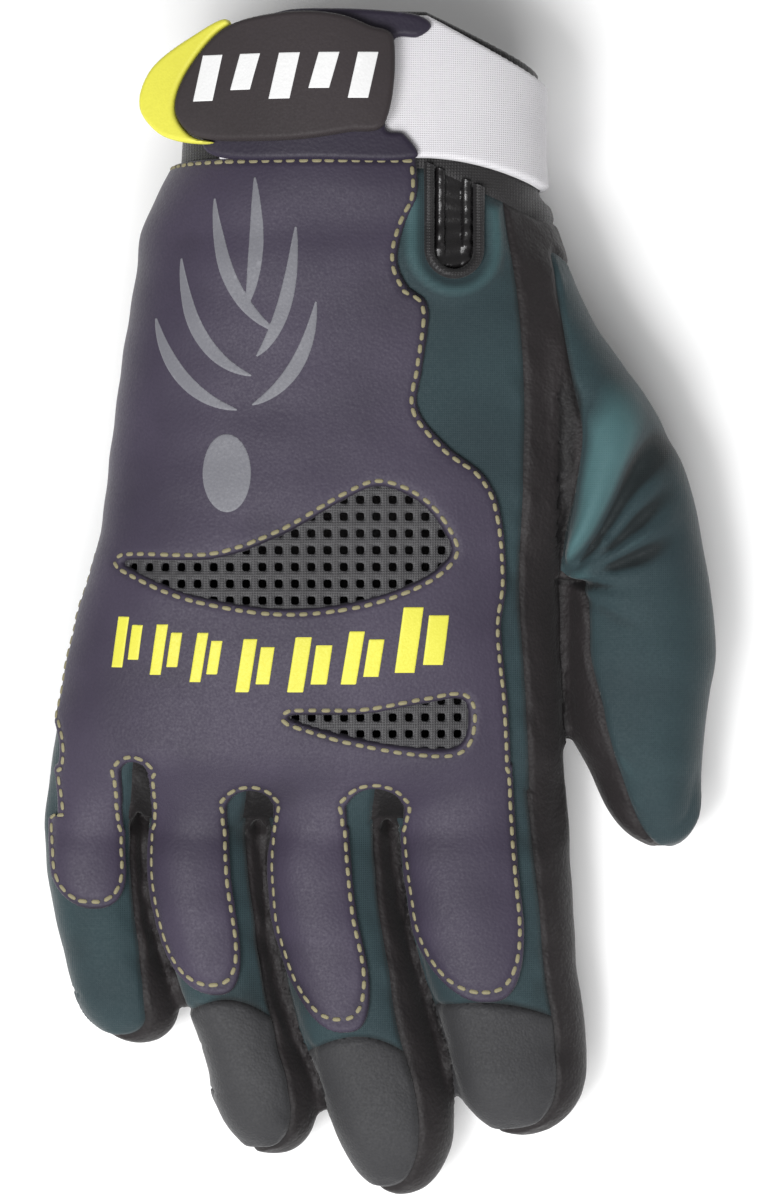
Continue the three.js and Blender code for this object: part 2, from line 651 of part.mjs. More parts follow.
// The overlay's plan: hand part with the smooth edge on the index side, and the four lobes
function lobePlan(name) {
  const digit = DIGITS[name];
  const lobe = LOBES[name];
  const middle = (lobe.left + lobe.right) / 2;
  const half = (lobe.right - lobe.left) / 2;
  const root = -0.04;
  const left = [digitPoint(digit, root, lobe.left)];
  const right = [digitPoint(digit, root, lobe.right)];
  const steps = 5;
  for (let k = 0; k <= steps; k += 1) {
    const angle = (Math.PI / 2) * (k / steps);
    const s = lobe.round + (lobe.end - lobe.round) * Math.sin(angle);
    const reach = half * Math.cos(angle) ** LOBE_FULLNESS;
    left.push(digitPoint(digit, s, middle - reach));
    right.push(digitPoint(digit, s, middle + reach));
  }
  right.pop();
  return [...left, ...right.reverse()];
}

function overlayHandPlan() {
  const low = along(CROTCH + 0.01);
  const edge = smooth(OVERLAY_EDGE.map(palmPoint), false, 19).filter((point) => point.y > low);
  const top = REACH / 2;
  return [
    new THREE.Vector3(edge[0].x, top, 0),
    ...edge,
    new THREE.Vector3(edge[edge.length - 1].x, low, 0),
    ...OVERLAY_SIDE.map(palmPoint),
    new THREE.Vector3(-REACH / 2, along(OVERLAY_SIDE.at(-1).y), 0),
    new THREE.Vector3(-REACH / 2, top, 0),
  ];
}

function notchPlan(notch) {
  const side = (name, edge) => digitPoint(DIGITS[name], 0, LOBES[name][edge]).x;
  const left = side(notch.outer, 'right');
  const right = side(notch.inner, 'left');
  const half = (right - left) / 2;
  const rise = NOTCH_RISE * half;
  const plan = [];
  const steps = 5;
  for (let k = 0; k <= steps; k += 1) {
    const angle = (Math.PI * k) / steps;
    const y = along(notch.top) - rise + rise * Math.sin(angle);
    plan.push(new THREE.Vector3((left + right) / 2 + half * Math.cos(angle), y, 0));
  }
  const low = along(CROTCH);
  return [...plan, new THREE.Vector3(left, low, 0), new THREE.Vector3(right, low, 0)];
}

function overlayZone() {
  const low = SEAM_HEIGHT + CLEARANCE;
  const whole = FINGERS.reduce(
    (zone, name) => zone.add(prism(lobePlan(name), low)),
    prism(overlayHandPlan(), low),
  );
  return NOTCHES.reduce((zone, notch) => zone.subtract(prism(notchPlan(notch))), whole);
}

const largeWindow = closedOutline(LARGE_WINDOW, palmPoint, 20);
const smallWindow = closedOutline(SMALL_WINDOW, palmPoint, 14);

const lowerSkin = skin(CLEARANCE);

function overlaySolid() {
  return skin(CLEARANCE + OVERLAY_WALL)
    .subtract(lowerSkin)
    .intersect(overlayZone())
    .subtract(prism(largeWindow, SEAM_HEIGHT))
    .subtract(prism(smallWindow, SEAM_HEIGHT))
    .subtract(wristBand(strapLine(CLEARANCE), farLine()));
}

function insidePlan(outline, x, y) {
  let inside = false;
  outline.forEach((a, i) => {
    const b = outline[(i + 1) % outline.length];
    if ((a.y > y) !== (b.y > y) && x < ((b.x - a.x) * (y - a.y)) / (b.y - a.y) + a.x) inside = !inside;
  });
  return inside;
}

// A perforated insert: rows of square holes wherever a whole hole fits inside the window
function ventSolid(window) {
  const inner = grown(window, -CLEARANCE);
  const room = grown(window, -CLEARANCE - 0.75 * VENT_HOLE);
  let vent = skin(CLEARANCE + VENT_WALL).subtract(lowerSkin).intersect(prism(inner, SEAM_HEIGHT));
  const box = new THREE.Box3().setFromPoints(room);
  const first = (low) => Math.ceil(low / VENT_PITCH) * VENT_PITCH;
  for (let x = first(box.min.x); x < box.max.x; x += VENT_PITCH) {
    for (let y = first(box.min.y); y < box.max.y; y += VENT_PITCH) {
      if (insidePlan(room, x, y)) {
        const hole = new THREE.BoxGeometry(VENT_HOLE, VENT_HOLE, REACH).translate(x, y, 0);
        vent = vent.subtract(toSolid(hole));
      }
    }
  }
  return vent;
}

// The wrist slit: a U open at the cuff seam
const SLIT_CENTRE = 0.123; // share of the palm's width
function slitPlan(inset) {
  const centre = across(SLIT_CENTRE);
  const half = SLIT_WIDTH / 2 - inset;
  const round = SLIT_WIDTH / 2;
  const bottom = cuffSeamY - SLIT_LENGTH + round;
  const plan = [new THREE.Vector3(centre - half, cuffSeamY + REACH / 8, 0)];
  const steps = 7;
  for (let k = 0; k <= steps; k += 1) {
    const angle = Math.PI + (Math.PI * k) / steps;
    const y = bottom + (round - inset) * Math.sin(angle);
    plan.push(new THREE.Vector3(centre + half * Math.cos(angle), y, 0));
  }
  plan.push(new THREE.Vector3(centre + half, cuffSeamY + REACH / 8, 0));
  return plan;
}

function bindingSolid() {
  return skin(CLEARANCE + BINDING_WALL)
    .subtract(lowerSkin)
    .intersect(prism(slitPlan(0), SEAM_HEIGHT))
    .subtract(prism(slitPlan(BINDING_WIDTH)))
    .subtract(cuffZone(CLEARANCE));
}

const RIB_PLACE = 0.27; // of the ribs from the slit's middle, as a share of its clear width
function gussetSolid() {
  const room = prism(slitPlan(BINDING_WIDTH / 2 + CLEARANCE), SEAM_HEIGHT);
  const sheet = skin(-CLEARANCE).subtract(skin(-BACK_WALL)).intersect(room);
  const ribRoom = prism(slitPlan(BINDING_WIDTH + CLEARANCE), SEAM_HEIGHT);
  const ribLayer = skin(BINDING_WALL / 2).subtract(skin(-BACK_WALL / 2)).intersect(ribRoom);
  const clear = SLIT_WIDTH - 2 * (BINDING_WIDTH + CLEARANCE);
  const ribs = [-1, 1].map((side) => {
    const x = across(SLIT_CENTRE) + side * RIB_PLACE * clear;
    const box = new THREE.BoxGeometry(RIB_WIDTH, REACH, REACH);
    return ribLayer.intersect(toSolid(box.translate(x, cuffSeamY, REACH / 2 + SEAM_HEIGHT)));
  });
  return ribs.reduce((body, rib) => body.add(rib), sheet).subtract(cuffZone(CLEARANCE));
}

// Shell pieces
const handShell = shell.subtract(cuffZone(CLEARANCE)).subtract(thumbZone(CLEARANCE));

function backSolid() {
  const caps = Object.keys(CAPS).reduce((body, name) => body.subtract(capZone(name, CLEARANCE)), handShell);
  return caps
    .intersect(backZone(0))
    .subtract(prism(grown(largeWindow, -VENT_LAP), SEAM_HEIGHT))
    .subtract(prism(grown(smallWindow, -VENT_LAP), SEAM_HEIGHT))
    .subtract(prism(slitPlan(BINDING_WIDTH / 2), SEAM_HEIGHT));
}

const palmSolid = () => handShell.subtract(backZone(CLEARANCE));

const capSolid = (name) => handShell.intersect(fingerZone(name, 0)).intersect(capZone(name, 0));

const thumbShell = shell.subtract(cuffZone(CLEARANCE)).intersect(thumbZone(0));
const thumbBackSolid = () => thumbShell.intersect(thumbBackZone(0));
const thumbFrontSolid = () => thumbShell.subtract(thumbBackZone(CLEARANCE));

function cuffSolid() {
  const tube = outer.subtract(handLoft(-CUFF_WALL, -CUFF_WALL));
  return tube.intersect(cuffZone(0)).subtract(mouthZone());
}

// Strap round the thumb side of the wrist, open at the far side
const STRAP_END = -0.46; // of the strap's two ends, as a share of the wrist's width
const STRAP_EDGE = 0.8; // the cuff's rim shows past the strap
const strapMiddleY = strapLowY + STRAP_WIDTH / 2;
function strapSolid() {
  const highLine = wristLine(strapLowY + STRAP_WIDTH, MOUTH_FALL + STRAP_EDGE, 1);
  const band = wristBand(strapLine(0), highLine);
  const box = new THREE.BoxGeometry(REACH, REACH, REACH)
    .translate(STRAP_END * WRIST_WIDTH + REACH / 2, 0, 0);
  return skin(CLEARANCE + STRAP_WALL).subtract(lowerSkin).intersect(band).intersect(toSolid(box));
}

const TAB_LEAVE = -0.36; // where the strap end leaves the wrist, as a share of its width
const TAB_FAR = 1.25; // of the strap end's plane past its thumb-side edge, in tab lengths

// Height of the strap end's underside: along the wrist's back, then straight out past its outer side
function tabProfile(low, high) {
  const section = handSections().at(-1);
  const leave = TAB_LEAVE * WRIST_WIDTH;
  const height = (x, offset) => {
    const half = section.half + offset;
    const across1 = Math.min(Math.abs(x - section.x) / half, 0.999);
    const rise = (1 - across1 ** section.squareness) ** (1 / section.squareness);
    return section.z + (section.up + offset) * rise;
  };
  const step = 0.5;
  const slope = (offset) => (height(leave + step, offset) - height(leave, offset)) / step;
  const edge = (offset) => {
    const points = [];
    for (let k = 0; k <= 9; k += 1) {
      const x = leave + (k / 9) * (across(TAB_EDGE) + step - leave);
      points.push(new THREE.Vector3(x, height(x, offset), 0));
    }
    const far = across(TAB_EDGE) - TAB_FAR * TAB_LENGTH;
    points.unshift(new THREE.Vector3(far, height(leave, offset) + slope(offset) * (far - leave), 0));
    return points;
  };
  const band = prism([...edge(low), ...edge(high).reverse()], -REACH / 2, REACH / 2);
  return band.rotate([90, 0, 0]);
}

const tabPoint = (share) => new THREE.Vector3(
  across(TAB_EDGE) + share.x * TAB_LENGTH,
  strapMiddleY + share.y * TAB_WIDTH,
  0,
);
const TAB_BASE_LOW = 2 * CLEARANCE + STRAP_WALL;
const TAB_TOP_LOW = TAB_BASE_LOW + TAB_BASE_WALL + CLEARANCE;
const padPlan = closedOutline(TAB_PAD_OUTLINE, tabPoint, 24);

const tabBaseSolid = () => tabProfile(TAB_BASE_LOW, TAB_BASE_LOW + TAB_BASE_WALL)
  .intersect(prism(closedOutline(TAB_BASE_OUTLINE, tabPoint, 28)));

const tabPadSolid = () => tabProfile(TAB_TOP_LOW, TAB_TOP_LOW + TAB_PAD_WALL).intersect(prism(padPlan));

const tabPullSolid = () => tabProfile(TAB_TOP_LOW, TAB_TOP_LOW + TAB_PULL_WALL)
  .intersect(prism(closedOutline(TAB_PULL_OUTLINE, tabPoint, 22)))
  .subtract(prism(grown(padPlan, CLEARANCE)));

// Materials
const cloth = (color, roughness) => new THREE.MeshStandardMaterial({ color, roughness, metalness: 0 });
const BLACK_LEATHER = cloth(0x2e2b2c, 0.75);
const TEAL_STRETCH = cloth(0x3a4f54, 0.85);
const PURPLE_LEATHER = cloth(0x5b5263, 0.6);
const DARK_VENT = cloth(0x505052, 0.7);
const DARK_CAP = cloth(0x4b4a4c, 0.7);
const BLACK_NEOPRENE = cloth(0x262527, 0.9);
const PALE_STRAP = cloth(0xdad8db, 0.8);
const BLACK_RUBBER = cloth(0x484445, 0.6);
const YELLOW_RUBBER = cloth(0xf0f046, 0.55);

const glove = new THREE.Group();
function addPiece(name, solid, material) {
  const mesh = new THREE.Mesh(toGeometry(solid), material);
  mesh.name = name;
  glove.add(mesh);
}

addPiece('palm_panel', palmSolid(), BLACK_LEATHER);
addPiece('back_panel', backSolid(), TEAL_STRETCH);
addPiece('thumb_back', thumbBackSolid(), TEAL_STRETCH);
addPiece('thumb_front', thumbFrontSolid(), BLACK_LEATHER);
addPiece('knuckle_overlay', overlaySolid(), PURPLE_LEATHER);
addPiece('vent_large', ventSolid(largeWindow), DARK_VENT);
addPiece('vent_small', ventSolid(smallWindow), DARK_VENT);
Object.keys(CAPS).forEach((name) => addPiece(`cap_${name}`, capSolid(name), DARK_CAP));
addPiece('cuff', cuffSolid(), BLACK_NEOPRENE);
addPiece('slit_binding', bindingSolid(), BLACK_LEATHER);
addPiece('wrist_gusset', gussetSolid(), BLACK_NEOPRENE);
addPiece('wrist_strap', strapSolid(), PALE_STRAP);
addPiece('tab_base', tabBaseSolid(), PURPLE_LEATHER);
addPiece('tab_pad', tabPadSolid(), BLACK_RUBBER);
addPiece('tab_pull', tabPullSolid(), YELLOW_RUBBER);

export default glove;
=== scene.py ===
import math

import bpy
import numpy as np
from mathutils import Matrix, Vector
from mathutils.bvhtree import BVHTree


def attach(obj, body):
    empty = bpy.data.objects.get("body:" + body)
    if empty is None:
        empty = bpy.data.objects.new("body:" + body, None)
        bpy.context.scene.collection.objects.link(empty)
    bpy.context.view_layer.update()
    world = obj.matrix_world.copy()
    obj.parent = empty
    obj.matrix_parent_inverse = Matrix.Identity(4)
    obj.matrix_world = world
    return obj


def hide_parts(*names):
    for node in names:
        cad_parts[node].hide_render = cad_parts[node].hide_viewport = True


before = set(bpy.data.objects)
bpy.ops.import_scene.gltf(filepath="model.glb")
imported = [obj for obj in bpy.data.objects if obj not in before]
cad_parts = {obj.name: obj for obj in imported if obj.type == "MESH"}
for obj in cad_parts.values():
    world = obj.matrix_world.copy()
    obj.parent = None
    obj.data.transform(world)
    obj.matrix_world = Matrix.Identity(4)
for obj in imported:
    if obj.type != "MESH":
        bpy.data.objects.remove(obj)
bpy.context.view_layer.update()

# Sizes in millimetres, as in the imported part: X to the thumb side, Y to the cuff, Z up
PALM_WIDTH = 106
PALM_LENGTH = 131
PALM_HEIGHT = 40
WRIST_WIDTH = 74
WRIST_HEIGHT = 45
CUFF_LENGTH = 32
BACK_WALL = 1.4
CUFF_WALL = 2.2
OVERLAY_TOP = 1.75
STRAP_LOW = 0.3
STRAP_TOP = 2.3
SEAM_HEIGHT = 9
TIP_MARGIN = 1.8
VENT_LAP = 2.2
SLIT_WIDTH = 12
SLIT_LENGTH = 22.3
BINDING_WIDTH = 1.9
STRAP_WIDTH = 28.9
TAB_LENGTH = 50
TAB_WIDTH = 30
CUFF_SEAM = 0.672
CROTCH = -0.328
THUMB_CROTCH = 0.03
FALL_START = 0.1
THUMB_TOP = 73
# How far the black walls reach up the outer sides of the fingers
VALLEY_SETBACK = 0.8
VOXEL, QUICK_VOXEL = 1.12, 1.5
SHARP_ANGLE = 62
GROOVE_DEPTH, GROOVE_WIDTH = 0.6, 0.75
WRIST_FLOOR = 2.3

# Hand sections: y, left, right, top as shares of the palm's sizes
PALM_ROWS = [
    (-0.335, -0.682, 0.347, 0.68), (-0.23, -0.665, 0.345, 0.83), (-0.12, -0.637, 0.337, 0.9),
    (-0.03, -0.605, 0.333, 0.95), (0.06, -0.57, 0.345, 0.98), (0.16, -0.55, 0.395, 1),
    (0.31, -0.525, 0.405, 1.02), (0.53, -0.485, 0.35, 1.1),
]
# Wrist sections: y along the cuff from its seam, left, right, top as shares of the wrist's sizes
WRIST_ROWS = [(-0.35, -0.681, 0.432, 0.97), (-0.1, -0.622, 0.42, 1), (0.08, -0.588, 0.415, 1),
              (1.2, -0.582, 0.41, 1)]

# Digits. Rows: s along the digit, drift of the axis, width, height, lift, as shares of the digit's sizes.
# Seam: s, u of the seam with the dark side wall. Lobe: left, right, start of the round end, end.
# Cap: s of its seam's peak, u of the peak, drop
DIGITS = {
    "index": dict(
        length=70.3, width=36, height=27, root=0.183, start=CROTCH, round=0.235, crest=-0.11,
        rows=[(-0.25, -0.02, 0.9, 1, 0), (0, 0, 1, 0.99, 0), (0.17, 0.022, 1, 0.97, 0.02),
              (0.47, 0.097, 0.92, 0.91, 0.04), (0.64, 0.175, 0.858, 0.88, 0.02),
              (0.77, 0.212, 0.81, 0.84, 0), (1, 0.264, 0.8, 0.8, 0)],
        seam=[(-0.1, 0.53), (0.2, 0.575), (0.46, 0.57), (0.75, 0.54), (1, 0.5)],
        lobe=(-0.93, 0.36, 0.28, 0.582), cap=(0.585, -0.37, 0.06)),
    "middle": dict(
        length=82.7, width=29, height=27, root=-0.12, start=CROTCH, round=0.285, crest=-0.08,
        rows=[(-0.22, -0.01, 0.88, 1, 0), (0, 0, 0.89, 1, 0), (0.27, 0.055, 0.95, 0.95, 0.04),
              (0.4, 0.14, 0.98, 0.92, 0.05), (0.55, 0.25, 0.985, 0.89, 0.04),
              (0.71, 0.405, 0.955, 0.85, 0), (1, 0.53, 0.95, 0.8, 0)],
        seam=[(-0.1, 0.72), (0.26, 0.67), (0.5, 0.53), (0.7, 0.43), (1, 0.45)],
        lobe=(-0.92, 0.3, 0.3, 0.57), cap=(0.583, -0.15, 0.085)),
    "ring": dict(
        length=74.5, width=25, height=26, root=-0.3635, start=CROTCH, round=0.2, crest=-0.07,
        rows=[(-0.22, 0, 0.97, 1, 0), (0, 0, 0.98, 1, 0), (0.23, 0.02, 0.98, 0.95, 0.04),
              (0.5, 0.185, 0.88, 0.9, 0.04), (0.68, 0.36, 0.83, 0.86, 0.01),
              (0.78, 0.47, 0.87, 0.84, 0), (1, 0.58, 0.9, 0.8, 0)],
        seam=[(-0.1, 0.69), (0.25, 0.73), (0.55, 0.71), (0.8, 0.46), (1, 0.5)],
        lobe=(-0.92, 0.4, 0.33, 0.53), cap=(0.545, -0.1, 0.085)),
    "pinky": dict(
        length=50.8, width=21.4, height=23, root=-0.587, start=CROTCH, round=0.225, crest=-0.04,
        rows=[(-0.25, 0.06, 0.85, 1, 0), (0, 0, 0.985, 1, 0), (0.2, 0, 0.98, 0.97, 0.03),
              (0.46, 0.075, 0.955, 0.92, 0.04), (0.64, 0.17, 0.975, 0.88, 0.02),
              (0.76, 0.28, 1.03, 0.85, 0), (1, 0.43, 1.03, 0.8, 0)],
        seam=[(-0.15, 0.76), (0.2, 0.76), (0.6, 0.64), (0.78, 0.38), (1, 0.2)],
        lobe=(-0.8, 0.62, 0.22, 0.425), cap=None),
    "thumb": dict(
        length=56.5, width=32.8, height=30, root=0.4865, start=THUMB_CROTCH, round=0.19, crest=0.03,
        rows=[(-1.4, -0.9, 0.7, 1.05, 0), (-1.1, -0.78, 0.81, 1.14, 0), (-0.8, -0.57, 0.97, 1.17, 0),
              (-0.5, -0.33, 1.2, 1.14, 0), (-0.36, -0.24, 1.2, 1.11, 0), (-0.14, -0.1, 1.05, 1.06, 0),
              (0.02, 0, 0.965, 1.02, 0), (0.27, 0.035, 1, 0.97, 0), (0.45, 0.02, 0.92, 0.92, 0),
              (0.57, 0.016, 0.86, 0.88, 0), (0.74, 0.09, 0.67, 0.81, 0), (1, 0.19, 0.55, 0.72, 0)],
        seam=[(-0.08, -1.05), (0.04, -0.74), (0.3, -0.67), (0.56, -0.47), (0.72, -0.53), (0.86, -0.5),
              (1, -0.5)],
        lobe=None, cap=None),
}
FINGERS = ["index", "middle", "ring", "pinky"]

# Lines on the hand as shares of the palm's width and length, from the fingers to the cuff
STRIP_EDGE = [(0.278, -0.32), (0.268, -0.15), (0.255, 0.03), (0.26, 0.19), (0.262, 0.32), (0.25, 0.47),
              (0.226, 0.595), (0.212, 0.69)]
THUMB_EDGE = [(0.3355, 0.03), (0.344, 0.11), (0.364, 0.19), (0.374, 0.267), (0.353, 0.357), (0.324, 0.51),
              (0.302, 0.61)]
OVERLAY_EDGE = [(0.241, -0.33), (0.228, -0.153), (0.216, -0.044), (0.225, 0.033), (0.212, 0.145),
                (0.179, 0.198), (0.111, 0.241), (0.055, 0.298), (0.062, 0.359), (0.075, 0.439),
                (0.067, 0.469), (0.035, 0.489), (0.015, 0.529), (0.029, 0.585), (0.052, 0.631), (0.05, 0.69)]
OVERLAY_SIDE = [(-0.665, -0.32), (-0.645, -0.255), (-0.645, -0.222), (-0.656, -0.19), (-0.7, -0.13),
                (-0.9, -0.08)]
LARGE_WINDOW = [(-0.51, 0.061), (-0.34, 0.064), (-0.208, 0.101), (-0.082, 0.159), (-0.017, 0.177),
                (0.063, 0.148), (0.114, 0.09), (0.106, 0.062), (0.045, 0.028), (-0.071, -0.002),
                (-0.217, -0.012), (-0.377, 0.008), (-0.475, 0.039)]
SMALL_WINDOW = [(-0.194, -0.182), (-0.057, -0.18), (0.066, -0.163), (0.14, -0.157), (0.149, -0.2),
                (0.127, -0.229), (0.047, -0.23), (-0.075, -0.214), (-0.151, -0.197)]
NOTCHES = [("pinky", "ring", -0.253), ("ring", "middle", -0.3), ("middle", "index", -0.296)]
SLIT_CENTRE = 0.123

# The strap end: shares of the tab's length and width from its thumb-side edge and middle
TAB_EDGE = 0.078
TAB_BASE = [(-0.12, 0.495), (-0.03, 0.46), (0, 0.4), (-0.05, 0.33), (-0.155, 0.29), (-0.185, -0.28),
            (-0.11, -0.33), (-0.065, -0.49), (-0.45, -0.5), (-0.86, -0.47), (-0.93, -0.3), (-0.8, 0.35),
            (-0.62, 0.5), (-0.4, 0.52)]
TAB_PAD = [(-0.153, 0.3), (-0.25, 0.39), (-0.37, 0.465), (-0.53, 0.49), (-0.73, 0.45), (-0.84, 0.375),
           (-0.937, 0.21), (-1.011, 0.01), (-1.03, -0.165), (-0.975, -0.31), (-0.89, -0.36),
           (-0.73, -0.375), (-0.53, -0.37), (-0.335, -0.325), (-0.187, -0.265)]
TAB_PULL = [(-0.82, 0.45), (-0.97, 0.34), (-1.12, 0.16), (-1.18, -0.03), (-1.17, -0.18), (-1.08, -0.33),
            (-0.93, -0.385), (-0.87, -0.35), (-0.93, -0.1), (-0.83, 0.2)]
STRAP_END = -0.46
TAB_LEAVE = -0.36

CUFF_SEAM_Y = CUFF_SEAM * PALM_LENGTH
CROTCH_Y = CROTCH * PALM_LENGTH
THUMB_CROTCH_Y = THUMB_CROTCH * PALM_LENGTH
SLIT_X = SLIT_CENTRE * PALM_WIDTH
MOUTH_Y = CUFF_SEAM_Y + CUFF_LENGTH
STRAP_LOW_Y = CUFF_SEAM_Y + 2


def unit(value):
    return np.clip(value, 0, 1)


def bump(value, width):
    """1 at zero, falling on both sides over a width."""
    return np.exp(-((value / width) ** 2))


def column(rows, places, col):
    """Smooth value of one column of a table at places along its first column."""
    rows = np.asarray(rows, float)
    x, v = rows[:, 0], rows[:, col]
    step = np.diff(v) / np.diff(x)
    slope = np.empty(len(x))
    slope[0], slope[-1] = step[0], step[-1]
    slope[1:-1] = (v[2:] - v[:-2]) / (x[2:] - x[:-2])
    places = np.asarray(places, float)
    i = np.clip(np.searchsorted(x, places, side="right") - 1, 0, len(x) - 2)
    span = x[i + 1] - x[i]
    t = unit((places - x[i]) / span)
    eased = 3 * t**2 - 2 * t**3
    bend = slope[i] * (t**3 - 2 * t**2 + t) + slope[i + 1] * (t**3 - t**2)
    return v[i] + (v[i + 1] - v[i]) * eased + span * bend


def ring(sec, y, sides):
    """Points of one section, a squared oval cut flat at its floor."""
    angle = 2 * np.pi * np.arange(sides) / sides
    c, s = np.cos(angle), np.sin(angle)
    power = 2 / sec["power"]
    px = sec["x"] + sec["half"] * np.sign(c) * np.abs(c) ** power + np.where(s > 0, sec["crest"] * s**2, 0)
    reach = np.where(s > 0, sec["up"], sec["down"])
    pz = np.maximum(sec["z"] + reach * np.sign(s) * np.abs(s) ** power, sec["floor"])
    return np.stack([px, np.full(sides, y), pz], 1)


def loft(rings):
    sides = len(rings[0])
    last = (len(rings) - 1) * sides
    faces = []
    for a in range(last):
        b = a - a % sides + (a + 1) % sides
        faces.append((a, b, b + sides, a + sides))
    faces += [tuple(range(sides))[::-1], tuple(range(last, last + sides))]
    return list(np.concatenate(rings)), faces


HAND_ROWS = [
    (PALM_LENGTH * y, PALM_WIDTH * a, PALM_WIDTH * b, PALM_HEIGHT * t, 0, 2.5) for y, a, b, t in PALM_ROWS
] + [
    (CUFF_SEAM_Y + CUFF_LENGTH * y, WRIST_WIDTH * a, WRIST_WIDTH * b, WRIST_HEIGHT * t, WRIST_FLOOR, 2.3)
    for y, a, b, t in WRIST_ROWS
]


def hand_section(y):
    left, right, top, floor, power = (column(HAND_ROWS, y, k) for k in range(1, 6))
    floor = max(floor, 0)
    return dict(x=(left + right) / 2, half=(right - left) / 2, z=floor + 0.45 * (top - floor),
                up=0.55 * (top - floor), down=1.12 * 0.45 * (top - floor), crest=0, floor=floor, power=power)


def digit_section(digit, s, shrink=1.0):
    drift, width, height, lift = (column(digit["rows"], s, k) for k in range(1, 5))
    height, floor = height * digit["height"], np.maximum(lift, 0) * digit["height"]
    return dict(
        x=PALM_WIDTH * digit["root"] + drift * digit["width"], half=width * digit["width"] * shrink / 2,
        z=floor + 0.46 * height, up=0.54 * height * shrink, down=1.12 * 0.46 * height * shrink,
        crest=digit["crest"] * digit["width"] * shrink, floor=floor, power=2.25)


def digit_y(digit, s):
    return PALM_LENGTH * digit["start"] - s * digit["length"]


def skin_lofts():
    low, high = HAND_ROWS[0][0], HAND_ROWS[-1][0]
    parts = [loft([ring(hand_section(y), y, 120) for y in np.linspace(high, low, 110)])]
    for digit in DIGITS.values():
        start, turn = digit["rows"][0][0], 1 - digit["round"]
        rings = [ring(digit_section(digit, s), digit_y(digit, s), 64)
                 for s in np.linspace(start, turn, 50)]
        for k in range(1, 15):
            angle = math.pi / 2 * k / 14.6
            s = turn + digit["round"] * math.sin(angle)
            y = digit_y(digit, turn) - digit["round"] * digit["length"] * math.sin(angle)
            rings.append(ring(digit_section(digit, s, math.cos(angle)), y, 64))
        parts.append(loft(rings))
    return parts


def edges_of(tris, count):
    pairs = np.sort(np.stack([tris, np.roll(tris, -1, 1)], 2).reshape(-1, 2), 1)
    keys, inverse = np.unique(pairs[:, 0] * count + pairs[:, 1], return_inverse=True)
    return keys // count, keys % count, inverse.reshape(-1, 3)


def vertex_normals(verts, tris):
    a, b, c = (verts[tris[:, k]] for k in range(3))
    face = np.cross(b - a, c - a)
    out = np.stack([np.bincount(tris.ravel(), np.repeat(face[:, k], 3), len(verts)) for k in range(3)], 1)
    return out / np.maximum(np.linalg.norm(out, axis=1, keepdims=True), 1e-9)


def relax(verts, a, b, amounts):
    """Moves each vertex to and fro between itself and the mean of its neighbours."""
    n = len(verts)
    degree = np.bincount(a, minlength=n) + np.bincount(b, minlength=n)
    for amount in amounts:
        mean = np.stack([
            np.bincount(a, verts[b, k], n) + np.bincount(b, verts[a, k], n) for k in range(3)
        ], 1) / degree[:, None]
        verts = verts + amount * (mean - verts)
    return verts


def linked(name, data):
    """A new object in the scene."""
    obj = bpy.data.objects.new(name, data)
    bpy.context.scene.collection.objects.link(obj)
    return obj


def union_skin(voxel):
    """The whole glove's surface as one closed mesh: the lofts joined, then relaxed."""
    verts, faces = [], []
    for part_verts, part_faces in skin_lofts():
        faces += [tuple(len(verts) + i for i in face) for face in part_faces]
        verts += part_verts
    mesh = bpy.data.meshes.new("lofts")
    mesh.from_pydata((np.array(verts) / 1000).tolist(), [], faces)
    obj = linked("lofts", mesh)
    remesh = obj.modifiers.new("remesh", "REMESH")
    remesh.mode = "VOXEL"
    remesh.voxel_size = voxel / 1000
    result = obj.evaluated_get(bpy.context.evaluated_depsgraph_get()).to_mesh()
    result.calc_loop_triangles()
    out = np.empty(len(result.vertices) * 3)
    result.vertices.foreach_get("co", out)
    tris = np.empty(len(result.loop_triangles) * 3, np.int64)
    result.loop_triangles.foreach_get("vertices", tris)
    out, tris = out.reshape(-1, 3) * 1000, tris.reshape(-1, 3)
    bpy.data.objects.remove(obj)
    a, b, _ = edges_of(tris, len(out))
    # The slots are sunk, the voxels' steps taken off, then the valleys and two rough zones softened
    out[:, 2] -= notch_share(out) * np.maximum(out[:, 2] - 13, 0)
    out = relax(out, a, b, [0.5, -0.52] * 9)
    closest = np.sort([finger_gap(name, out) for name in FINGERS], 0)
    valley = bump(closest[1] - closest[0], 2.2) * np.clip(-36 - out[:, 1], 0, 4) / 4
    out = out + valley[:, None] * (relax(out, a, b, [0.45] * 14) - out)
    soft = relax(out, a, b, [0.45] * 90)
    knuckle = np.exp(-(((out[:, 1] - CROTCH_Y) / 8) ** 4)) * unit((out[:, 2] - 15) / 4)
    root = np.exp(-(((out[:, 0] - 23) / 9) ** 4) - (((out[:, 1] - 73) / 14) ** 4)) * (out[:, 2] > 20)
    return out + np.maximum(knuckle, root)[:, None] * (soft - out), tris


